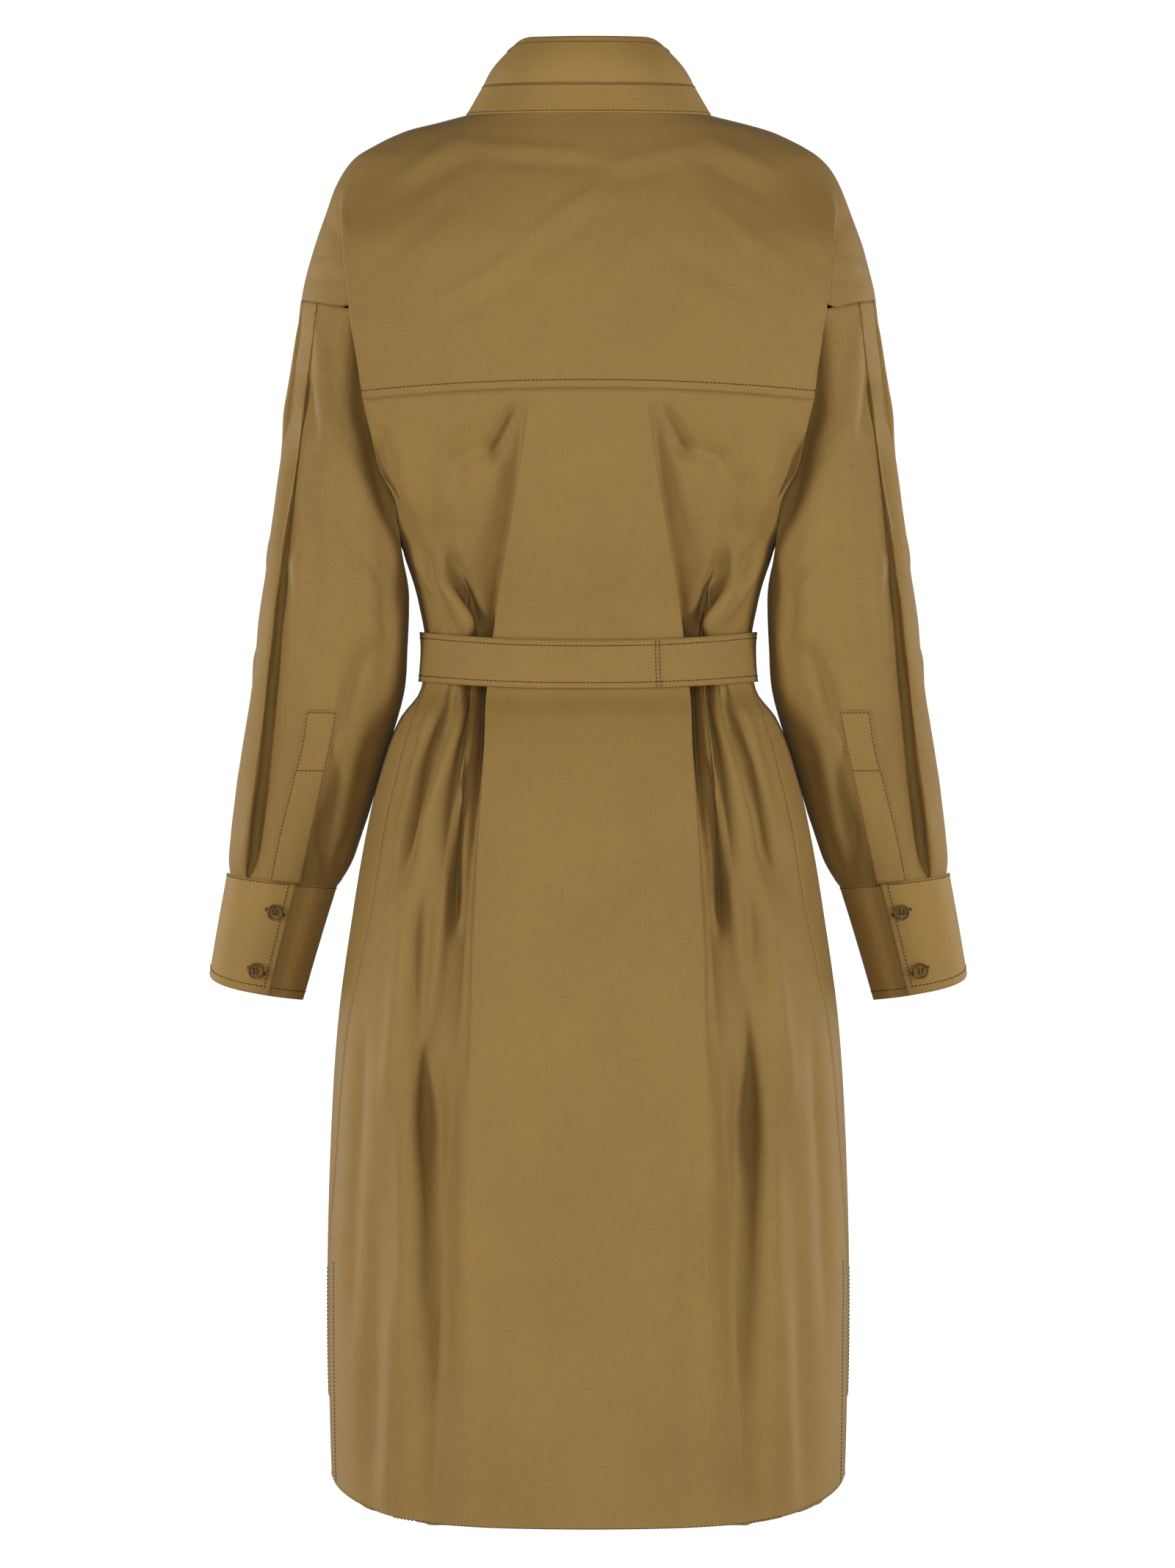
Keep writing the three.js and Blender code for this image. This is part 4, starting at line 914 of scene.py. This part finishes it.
def sleeveHeight(p, n):
    # the front of the sleeve has the back's creases, mirrored across its width
    calm = smooth((-p.z - 152) / 26) * smooth((p.z + 610) / 12)
    x = p.x if n.y > 0 else sleeveValues["mirrorWidth"] - p.x
    return calm * (creaseHeight(sleeveCreases, x, p.z) * abs(n.y) + rumple(p, 1.2))


def makeSleeve(label, side):
    grid = []
    share = sleeveValues["upperShare"]
    for t in steps(0, 1, sleeveValues["rows"]):
        if t < share:
            grid.append(upperSleeveRow(t / share))
        else:
            z = lerp(sleeveTable[0]["z"], cuffValues["seamOuter"], (t - share) / (1 - share))
            grid.append(lowerSleeveRow(z))
    grid = flipped(raised(grid, sleeveHeight, True), side)
    name = "sleeve_" + label
    piece = clothPiece(name + "_cloth", grid, dv["cloth"], clothMaterial, closed=True)
    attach(piece, "root")
    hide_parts(name)


def makeSleevePlacket(label, side):
    grid = []
    for z in steps(sleevePlacket[0]["z"], cuffValues["seamOuter"] + 0.4, 60):
        row = []
        for x in steps(look(sleevePlacket, "outer", z), look(sleevePlacket, "inner", z), 12):
            angle = sleeveAngle(z, x)
            p = sleeveRing(z, angle)
            p.z += cuffDrop(z, angle)
            row.append(p)
        grid.append(row)
    lift = dv["lay"] + dv["fused"] + 0.9
    grid = flipped(raised(grid, lambda p, n: lift), side)
    name = "sleeve_placket_" + label
    piece = clothPiece(name + "_cloth", grid, dv["fused"], clothMaterial)
    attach(piece, "root")
    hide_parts(name)


def cuffPoint(angle, t, lift=0):
    cv = cuffValues
    under = 1 - smooth((angle - cv["overlap"] - 4) / 34)
    inset = under * (dv["fused"] + dv["lay"] + 1.4) - lift
    s, c = math.sin(math.radians(angle)), math.cos(math.radians(angle))
    inner = lerp(look(sleeveTable, "inner", cv["top"]), cv["inner"], t)
    outer = lerp(look(sleeveTable, "outer", cv["top"]), cv["outer"], t)
    depth = lerp(look(sleeveTable, "depth", cv["top"]), cv["depth"], t) - inset
    forward = lerp(look(sleeveTable, "forward", cv["top"]), cv["forward"], t)
    hemPart = ((1 - c) / 2) ** 0.4
    z = lerp(cuffSeam((angle + 360) % 360) - 0.05, lerp(cv["hemOuter"], cv["hemInner"], hemPart), t)
    return Vector(((inner + outer) / 2 + ((outer - inner) / 2 - inset) * c, depth * s - forward, z))


def makeCuff(label, side):
    cv = cuffValues
    angles = steps(cv["overlap"] - cv["underlap"], cv["overlap"] + 360, 150)
    grid = [[cuffPoint(angle, t) for angle in angles] for t in steps(0, 1, 40)]
    grid = flipped(raised(grid, lambda p, n: rumple(p, 0.6)), side)
    name = "cuff_" + label
    # the cuff's lighter base colour is painted light
    piece = clothPiece(name + "_cloth", grid, dv["fused"], paintedLightPoplin)
    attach(piece, "root")
    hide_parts(name)


for label, side in (("right", 1), ("left", -1)):
    makeSleeve(label, side)
    makeSleevePlacket(label, side)
    makeCuff(label, side)
print("sleeves and cuffs made")


# Collar and stand

standValues = {"width": 83, "back": 54, "front": 73, "height": 24.4, "start": -176, "end": 190}
collarValues = {
    "width": 60,
    "back": 46,
    "front": 62,
    "end": 168,
    "backHeight": 36.6,
    "sideDrop": 7,
    "pointRise": 22,
    "bow": 3,
}


def neckRing(angle, size, lift=0):
    s, c = math.sin(math.radians(angle)), math.cos(math.radians(angle))
    depth = size["back"] if c >= 0 else size["front"]
    return Vector(((size["width"] + lift) * s, (depth + lift) * c, -bodyTable[0]["dip"] * clamp(-c) ** 1.5))


def standPoint(angle, t):
    lap = smooth((angle - 166) / 10) * (dv["fused"] + dv["lay"] + 0.8)
    low, high = neckRing(angle, bodyTable[0], lap), neckRing(angle, standValues, lap)
    low.z += 0.05
    high.z += standValues["height"]
    return low.lerp(high, t)


def collarPoint(angle, t):
    around, cv = abs(angle), collarValues
    height = cv["backHeight"] - cv["sideDrop"] * smooth((around - 48) / 42)
    height += cv["pointRise"] * smooth((around - 100) / 68)
    low, high = neckRing(angle, standValues), neckRing(angle, collarValues)
    low.z += standValues["height"] + 0.05
    high.z += standValues["height"] + height
    p = low.lerp(high, t)
    out = Vector((p.x, p.y, 0)).normalized()
    return p + out * cv["bow"] * math.sin(math.pi * t)


def makeCollar():
    around = steps(standValues["end"], standValues["start"], 180)
    stand = [[standPoint(a, t) for a in around] for t in steps(1, 0, 12)]
    around = steps(collarValues["end"], -collarValues["end"], 180)
    leaf = [[collarPoint(a, t) for a in around] for t in steps(1, 0, 26)]
    for name, grid, size in (("collar_stand", stand, (0.53, 0.027)), ("collar", leaf, (0.42, 0.045))):
        grid = raised(grid, lambda p, n: rumple(p, 0.6))
        # collar and stand take the lighter base colour, which is painted light
        piece = clothPiece(name + "_cloth", grid, dv["fused"], paintedLightPoplin)
        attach(piece, "root")
        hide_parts(name)


makeCollar()
print("collar made")


# Belt, knot and tails

beltValues = {"proud": 3.4, "frontProud": 2.2, "joinX": -54.5, "joinRow": 8}
tailValues = {"right": 330, "left": 300, "topDrop": 34, "topX": 27, "endX": 40, "topProud": 7.6, "proud": 6}
knotValues = {
    "width": 18.5,
    "depth": 8.6,
    "height": 16.5,
    "square": 0.7,               # exponent of its rounded section
    "draw": 0.4,                 # how much it narrows at its top and bottom
    "slope": 0.6,
    "wrap": 1.5,
}


def beltPoint(angle, t):
    s, c = math.sin(math.radians(angle)), math.cos(math.radians(angle))
    rise = dv["beltSideRise"] * s * s * (1 - 0.15 * t)
    z = dv["beltTop"] + rise - dv["beltHeight"] * t
    p = section(z, angle)
    out = Vector((p.x * 0.55, p.y, 0)).normalized()
    p += out * (beltValues["proud"] + beltValues["frontProud"] * smooth(-c))
    p.z = z
    return p


def makeBelt():
    angles = steps(180, -180, 240)[:-1]
    grid = [[beltPoint(a, t) for a in angles] for t in steps(0, 1, 16)]
    grid = raised(grid, lambda p, n: 0.5 + rumple(p * 1.5, 0.9), True)
    piece = clothPiece("belt_cloth", grid, dv["fused"], beltMaterial, closed=True)
    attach(piece, "root")
    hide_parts("belt")


def makeTails():
    tv = tailValues

    def wave(p, n):
        return 1.0 + 1.4 * math.sin(p.z / 38) * smooth((-456 - p.z) / 40)
    for label, side in (("right", 1), ("left", -1)):
        name, length = "belt_tail_" + label, tv[label]
        tail = []
        for t in steps(0, 1, 60):
            z = dv["beltTop"] - tv["topDrop"] - length * t
            proud = lerp(tv["topProud"], tv["proud"], smooth(t * 5))
            row = []
            for across in steps(-1, 1, 10):
                x = side * lerp(tv["topX"], tv["endX"], t) + across * dv["beltHeight"] / 2
                row.append(Vector((x, section(z, 180 - angleAt(z, x)).y - proud, z)))
            tail.append(row)
        piece = clothPiece(name + "_cloth", raised(tail, wave), dv["fused"], beltMaterial)
        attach(piece, "root")
        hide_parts(name)


def makeKnot():
    # a short stretch of the belt wrapped round the crossing, its wraps slanting
    kv = knotValues
    low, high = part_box("belt_knot")
    centre = (low + high) * 0.5 / mm
    grid = []
    for v in steps(1, -1, 30):
        draw = 1 - kv["draw"] * abs(v) ** 3.5
        row = []
        for a in steps(180, -180, 72)[:-1]:
            s, c = math.sin(math.radians(a)), math.cos(math.radians(a))
            x = kv["width"] * draw * math.copysign(abs(s) ** kv["square"], s)
            y = kv["depth"] * draw * math.copysign(abs(c) ** kv["square"], c)
            row.append(centre + Vector((x, y, kv["height"] * v)))
        grid.append(row)

    def height(p, n):
        slant = p.z - centre.z - kv["slope"] * (p.x - centre.x)
        folds = math.exp(-(slant / 4) ** 2)
        folds = folds - math.exp(-((slant - 7) / 2.4) ** 2) - math.exp(-((slant + 7) / 2.4) ** 2)
        return kv["wrap"] * folds + rumple(p * 3, 0.5)
    grid = raised(grid, height, True)
    piece = clothPiece("belt_knot_cloth", grid, dv["fused"], beltMaterial, closed=True)
    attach(piece, "root")
    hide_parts("belt_knot")


makeBelt()
makeTails()
makeKnot()
print("belt made")


# Sewing: rows of small stitches that follow a piece's own grid

stitchValues = {"pitch": 3.1, "length": 2.4, "width": 0.8, "sink": 0.12}
buttonholeValues = {"stitches": 26, "halfGap": 0.75, "length": 1.5, "width": 0.55, "halfColumns": 4.2}
sewn = {}        # vertices and faces of each piece's stitches


def onCloth(name, row, column):
    grid = grids[name]
    i = min(max(int(row), 0), len(grid) - 2)
    j = min(max(int(column), 0), len(grid[0]) - 2)
    a = grid[i][j].lerp(grid[i][j + 1], column - j)
    b = grid[i + 1][j].lerp(grid[i + 1][j + 1], column - j)
    return a.lerp(b, row - i)


def normalOnCloth(name, row, column):
    down = onCloth(name, row + 0.5, column) - onCloth(name, row - 0.5, column)
    right = onCloth(name, row, column + 0.5) - onCloth(name, row, column - 0.5)
    return down.cross(right).normalized()


def addStitch(name, centre, along, normal, length, width):
    verts, faces = sewn.setdefault(name, ([], []))
    side = normal.cross(along).normalized()
    base = len(verts)
    centre = centre + normal * (width * 0.5 - stitchValues["sink"])
    for way in (-1, 1):
        ring = centre + along * (way * length * 0.34)
        for a, b in ((1, 0), (0, 1), (-1, 0), (0, -1)):
            verts.append(ring + side * (a * width / 2) + normal * (b * width / 2))
        verts.append(centre + along * (way * length / 2) - normal * (width * 0.7))
    for k in range(4):
        n = (k + 1) % 4
        faces.append((base + k, base + 5 + k, base + 5 + n, base + n))
        faces.append((base + 4, base + k, base + n))
        faces.append((base + 9, base + 5 + n, base + 5 + k))


def sewLine(name, path):
    # a row of stitches along a path of rows and columns
    sv = stitchValues
    spots = []
    for (r1, c1), (r2, c2) in zip(path, path[1:]):
        count = int(max(abs(r2 - r1), abs(c2 - c1)) * 2) + 2
        spots += [(lerp(r1, r2, t), lerp(c1, c2, t)) for t in steps(0, 1, count)[:-1]]
    spots.append(path[-1])
    points = [onCloth(name, *spot) for spot in spots]
    reach, nextAt = 0.0, sv["pitch"] / 2
    for k in range(len(points) - 1):
        gap = (points[k + 1] - points[k]).length
        while gap > 0 and reach + gap >= nextAt:
            t = (nextAt - reach) / gap
            normal = normalOnCloth(name, *lerpPair(spots[k], spots[k + 1], t))
            along = (points[k + 1] - points[k]).normalized()
            addStitch(name, points[k].lerp(points[k + 1], t), along, normal, sv["length"], sv["width"])
            nextAt += sv["pitch"]
        reach += gap


def sewButtonhole(name, start, end):
    # close thread on both sides of a line between two places on the cloth
    bv = buttonholeValues
    shares = steps(0, 1, bv["stitches"])
    points = [onCloth(name, *lerpPair(start, end, t)) for t in shares]
    for t, p in zip(shares, points):
        normal = normalOnCloth(name, *lerpPair(start, end, t))
        along = (points[-1] - points[0]).normalized()
        side = normal.cross(along).normalized()
        for way in (-1, 1):
            addStitch(name, p + side * way * bv["halfGap"], side, normal, bv["length"], bv["width"])


def lastPlace(name):
    return len(grids[name]) - 1, len(grids[name][0]) - 1


def sewYoke():
    # above the back seam, and along the shoulder seam in front
    rows, columns = lastPlace("yoke_cloth")
    middle = columns / 2
    reach = yokeValues["flat"] + 2
    sewLine("yoke_cloth", [(rows - 2.9, middle - reach), (rows - 2.9, middle + reach)])
    for side in (-1, 1):
        front = middle + side * (middle - 1.6)
        sewLine("yoke_cloth", [(2, front), (yokeValues["upperRows"] - 2, front)])


def sewBody():
    # hems, side slits and both edges of the band
    rows, columns = lastPlace("back_panel_cloth")
    inset = backValues["hemInset"]
    slitRow = rows * (dv["slit"] - dv["yokeSeam"]) / (dv["backHem"] - dv["yokeSeam"])
    sewLine("back_panel_cloth", [(slitRow, inset), (rows - 0.8, inset), (rows - 0.8, columns - inset),
                                 (slitRow, columns - inset)])
    first = [i for i, z in enumerate(frontLevels) if z < dv["slit"]][0]
    for name, slitIsLast in (("front_right_cloth", True), ("front_left_cloth", False)):
        rows, columns = lastPlace(name)
        outer = columns - 0.9 if slitIsLast else 0.9
        inner = columns - outer
        sewLine(name, [(first, outer), (rows - 0.7, outer), (rows - 0.7, inner)])
    rows, columns = lastPlace("front_band_cloth")
    for column in (0.9, columns - 0.9):
        sewLine("front_band_cloth", [(1, column), (rows - 0.5, column)])


def sewCollar():
    rows, columns = lastPlace("collar_cloth")
    sewLine("collar_cloth", [(rows - 1, 2.5), (3.3, 2.5), (3.3, columns - 2.5), (rows - 1, columns - 2.5)])
    rows, columns = lastPlace("collar_stand_cloth")
    for row in (0.9, rows - 0.8):
        sewLine("collar_stand_cloth", [(row, 1.5), (row, columns - 1.5)])


def sewBelt():
    # both edges, the join at the back, and round the tails
    rows, columns = lastPlace("belt_cloth")
    for row in (1.9, rows - 1.9):
        sewLine("belt_cloth", [(row, 0.5), (row, columns - 0.5)])
    middle = grids["belt_cloth"][beltValues["joinRow"]]
    backColumns = [j for j in range(columns) if middle[j].y >= 0]
    join = min(backColumns, key=lambda j: abs(middle[j].x - beltValues["joinX"]))
    for shift in (-0.5, 0.5):
        sewLine("belt_cloth", [(0.4, join + shift), (rows - 0.4, join + shift)])
    for name in ("belt_tail_right_cloth", "belt_tail_left_cloth"):
        rows, columns = lastPlace(name)
        sewLine(name, [(1, 1.1), (rows - 0.8, 1.1), (rows - 0.8, columns - 1.1), (1, columns - 1.1)])


def sewSleeves():
    # sleeve plackets, cuffs and their buttonholes
    cv, halfHole = cuffValues, buttonholeValues["halfColumns"]
    for label, side in (("right", 1), ("left", -1)):
        name = f"sleeve_placket_{label}_cloth"
        rows, columns = lastPlace(name)
        sewLine(name, [(rows - 0.5, 0.8), (0.7, 0.8), (0.7, columns - 0.8), (rows - 0.5, columns - 0.8)])
        sewLine(name, [(22, 0.8), (22, columns - 0.8)])
        name = f"cuff_{label}_cloth"
        rows, columns = lastPlace(name)
        edge = columns - 3.3 if side > 0 else 3.3
        under = 1 if side > 0 else columns - 1
        sewLine(name, [(0.8, under), (0.8, edge), (rows - 2.9, edge), (rows - 2.9, under)])
        for angle, t in cuffButtonPlaces:
            at = (angle + 360 - cv["overlap"] + cv["underlap"]) / (360 + cv["underlap"]) * columns
            at = at if side > 0 else columns - at
            start = (t * rows - 0.7, at - halfHole * side)
            end = (t * rows + 0.7, at + halfHole * side)
            sewButtonhole(name, start, end)


def makeStitches():
    for name, (verts, faces) in sewn.items():
        mesh = bpy.data.meshes.new("stitches_" + name)
        mesh.from_pydata([tuple(p * mm) for p in verts], [], faces)
        piece = bpy.data.objects.new("stitches_" + name.replace("_cloth", ""), mesh)
        scene.collection.objects.link(piece)
        piece.data.materials.append(threadMaterial)
        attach(piece, "root")


sewYoke()
sewBody()
sewCollar()
sewBelt()
sewSleeves()
makeStitches()
print("sewing done:", sum(len(faces) for verts, faces in sewn.values()), "faces")


# Buttons: a rim, a dished face and four holes with thread

buttonValues = {
    "radius": 6.2,
    "depth": 2.6,
    "rim": 1.25,
    "dish": 0.75,
    "rounding": 0.18,
    "holeRadius": 0.72,
    "holeOffset": 1.35,
    "threadRadius": 0.42,
    "frontZ": [-105, -165, -235, -310, -380, -500, -600, -700],
}


def makeButtonMesh():
    bv = buttonValues
    bpy.ops.object.select_all(action="DESELECT")
    bpy.ops.mesh.primitive_cylinder_add(vertices=40, radius=bv["radius"] * mm, depth=bv["depth"] * mm,
                                        location=(0, 0, bv["depth"] * mm / 2))
    disc = bpy.context.object
    bpy.ops.object.transform_apply(location=True)
    bpy.ops.object.mode_set(mode="EDIT")
    bpy.ops.mesh.select_mode(type="FACE")
    bpy.ops.mesh.select_all(action="DESELECT")
    bpy.ops.object.mode_set(mode="OBJECT")
    for polygon in disc.data.polygons:
        polygon.select = polygon.normal.z > 0.9
    bpy.ops.object.mode_set(mode="EDIT")
    bpy.ops.mesh.inset(thickness=bv["rim"] * mm * 0.35)
    bpy.ops.transform.translate(value=(0, 0, 0.25 * mm))
    bpy.ops.mesh.inset(thickness=bv["rim"] * mm * 0.45)
    bpy.ops.mesh.inset(thickness=bv["rim"] * mm * 0.35)
    bpy.ops.transform.translate(value=(0, 0, -bv["dish"] * mm * 0.75))
    bpy.ops.mesh.inset(thickness=bv["rim"] * mm * 0.7)
    bpy.ops.transform.translate(value=(0, 0, -bv["dish"] * mm * 0.25))
    bpy.ops.object.mode_set(mode="OBJECT")
    for x in (-1, 1):
        for y in (-1, 1):
            bpy.ops.object.select_all(action="DESELECT")
            place = (x * bv["holeOffset"] * mm, y * bv["holeOffset"] * mm, 0)
            bpy.ops.mesh.primitive_cylinder_add(vertices=12, radius=bv["holeRadius"] * mm,
                                                depth=8 * mm, location=place)
            drill = bpy.context.object
            cut = disc.modifiers.new("hole", "BOOLEAN")
            cut.object = drill
            bpy.context.view_layer.objects.active = disc
            bpy.ops.object.modifier_apply(modifier=cut.name)
            bpy.data.objects.remove(drill, do_unlink=True)
    edge = disc.modifiers.new("rounding", "BEVEL")
    edge.width = bv["rounding"] * mm
    edge.segments = 2
    edge.limit_method = "ANGLE"
    bpy.ops.object.modifier_apply(modifier=edge.name)
    for polygon in disc.data.polygons:
        polygon.use_smooth = True
    disc.data.materials.append(resinMaterial)
    mesh = disc.data
    bpy.data.objects.remove(disc, do_unlink=True)
    return mesh


def placeButton(node, point, normal, mesh):
    turn = normal.to_track_quat("Z", "Y").to_matrix()
    copy = mesh.copy()
    for v in copy.vertices:
        v.co = turn @ v.co + point * mm
    piece = bpy.data.objects.new(node + "_resin", copy)
    scene.collection.objects.link(piece)
    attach(piece, "root")
    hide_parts(node)
    # two bars of thread from hole to hole
    verts, faces = [], []
    reach, radius = buttonValues["holeOffset"], buttonValues["threadRadius"]
    height = buttonValues["depth"] - buttonValues["dish"] + 0.35
    for x in (-reach, reach):
        base = len(verts)
        for y, z in ((-reach, -0.9), (-reach * 0.7, 0), (reach * 0.7, 0), (reach, -0.9)):
            for a, b in ((1, 0), (0, 1), (-1, 0), (0, -1)):
                verts.append((x + a * radius, y, height + z + b * radius))
        for ring in range(3):
            for k in range(4):
                n = (k + 1) % 4
                at = base + ring * 4
                faces.append((at + k, at + n, at + 4 + n, at + 4 + k))
    thread = bpy.data.meshes.new(node + "_thread")
    thread.from_pydata([tuple(turn @ Vector(v) * mm + point * mm) for v in verts], [], faces)
    thread.materials.append(threadMaterial)
    for polygon in thread.polygons:
        polygon.use_smooth = True
    tie = bpy.data.objects.new(node + "_thread", thread)
    scene.collection.objects.link(tie)
    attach(tie, "root")


def makeButtons():
    mesh = makeButtonMesh()
    for label, side in (("right", 1), ("left", -1)):
        for i, (angle, t) in enumerate(cuffButtonPlaces):
            over = angle + 360
            across = cuffPoint(over + 4, t) - cuffPoint(over - 4, t)
            down = cuffPoint(over, t + 0.1) - cuffPoint(over, t - 0.1)
            normal = down.cross(across).normalized()
            point = cuffPoint(over, t) + normal * (dv["lay"] + 0.3)
            if side < 0:
                point.x *= -1
                normal.x *= -1
            placeButton(f"cuff_button_{label}_{i + 1}", point, normal, mesh)
    for i, z in enumerate(buttonValues["frontZ"]):
        above, below = frontOfBand(z + 8), frontOfBand(z - 8)
        slope = (below - above).normalized()
        normal = Vector((0, slope.z, -slope.y))
        point = frontOfBand(z) + normal * (dv["lay"] + dv["fused"] + 0.4)
        placeButton(f"front_button_{i + 1}", point, normal, mesh)
    slope = (standPoint(180, 0) - standPoint(180, 1)).normalized()
    normal = Vector((0, slope.z, -slope.y))
    placeButton("stand_button", standPoint(180, 0.5) + normal * (dv["lay"] + 0.3), normal, mesh)


def frontOfBand(z):
    # the centre front line dips, so the level whose point lies at this height is found by steps
    level = z
    for attempt in range(30):
        p = section(min(level, 0), 180)
        level += (z - p.z) * 0.5
    return section(min(level, 0), 180)


makeButtons()
print("buttons made")


# Camera, light and floor

studioValues = {
    "distance": 12.0,
    "frameHeight": 1.239,        # metres that the frame takes in at the dress
    "paper": 1.1,                # brightness of the white ground to the camera
    "ambient": 0.1,
    "floorLevel": -1.35,
    "lampWidth": 0.8,
    "lampHeight": 2.4,
    # tall soft boxes: a wide pair and a weaker middle one at the back, and the same in front
    "lamps": [
        ("backRight", (3.0, 1.9, -0.35), 88),
        ("backLeft", (-3.0, 1.9, -0.45), 92),
        ("back", (0, 3.6, -0.45), 48),
        ("frontRight", (3.0, -2.0, -0.4), 60),
        ("frontLeft", (-3.0, -2.0, -0.4), 57),
        ("front", (0, -3.6, -0.2), 60),
    ],
}


def splitByCamera(tree, lit, seen, output):
    # the camera sees one shader, and all other light meets the other
    sight = tree.nodes.new("ShaderNodeLightPath")
    choice = tree.nodes.new("ShaderNodeMixShader")
    tree.links.new(sight.outputs["Is Camera Ray"], choice.inputs[0])
    tree.links.new(lit.outputs[0], choice.inputs[1])
    tree.links.new(seen.outputs[0], choice.inputs[2])
    tree.links.new(choice.outputs[0], tree.nodes[output].inputs[0])


def makeCamera():
    sv = studioValues
    cameraData = bpy.data.cameras.new("camera")
    camera = bpy.data.objects.new("camera", cameraData)
    scene.collection.objects.link(camera)
    scene.camera = camera
    cameraData.lens = 36 * sv["distance"] / sv["frameHeight"]
    cameraData.clip_end = 200
    camera.location = (0.0006, sv["distance"], -0.528)
    camera.rotation_euler = (math.radians(90), 0, math.radians(180))


def makeLight():
    sv = studioValues
    world = bpy.data.worlds.new("studio")
    world.use_nodes = True
    tree = world.node_tree
    soft = tree.nodes["Background"]
    soft.inputs["Color"].default_value = (1, 1, 1, 1)
    soft.inputs["Strength"].default_value = sv["ambient"]
    paper = tree.nodes.new("ShaderNodeBackground")
    paper.inputs["Color"].default_value = (1, 1, 1, 1)
    paper.inputs["Strength"].default_value = sv["paper"]
    splitByCamera(tree, soft, paper, "World Output")
    scene.world = world
    scene.view_settings.view_transform = "Standard"
    for name, place, power in sv["lamps"]:
        data = bpy.data.lights.new(name, "AREA")
        data.shape = "RECTANGLE"
        data.energy, data.size, data.size_y = power, sv["lampWidth"], sv["lampHeight"]
        lamp = bpy.data.objects.new(name, data)
        lamp.location = place
        lamp.rotation_euler = (Vector((0, 0, -0.5)) - Vector(place)).to_track_quat("-Z", "Y").to_euler()
        scene.collection.objects.link(lamp)


def makeFloor():
    sv = studioValues
    bpy.ops.object.select_all(action="DESELECT")
    bpy.ops.mesh.primitive_circle_add(vertices=64, radius=60, fill_type="NGON",
                                      location=(0, 0, sv["floorLevel"]))
    floor = bpy.context.object
    floor.name = "floor"
    # white paper to the camera, a plain grey to the light that falls on it
    pale = bpy.data.materials.new("floor")
    pale.use_nodes = True
    tree = pale.node_tree
    shader = tree.nodes["Principled BSDF"]
    shader.inputs["Base Color"].default_value = (0.35, 0.35, 0.35, 1)
    shader.inputs["Roughness"].default_value = 1.0
    bright = tree.nodes.new("ShaderNodeEmission")
    bright.inputs["Strength"].default_value = sv["paper"]
    splitByCamera(tree, shader, bright, "Material Output")
    floor.data.materials.append(pale)


makeCamera()
makeLight()
makeFloor()
print("studio made")
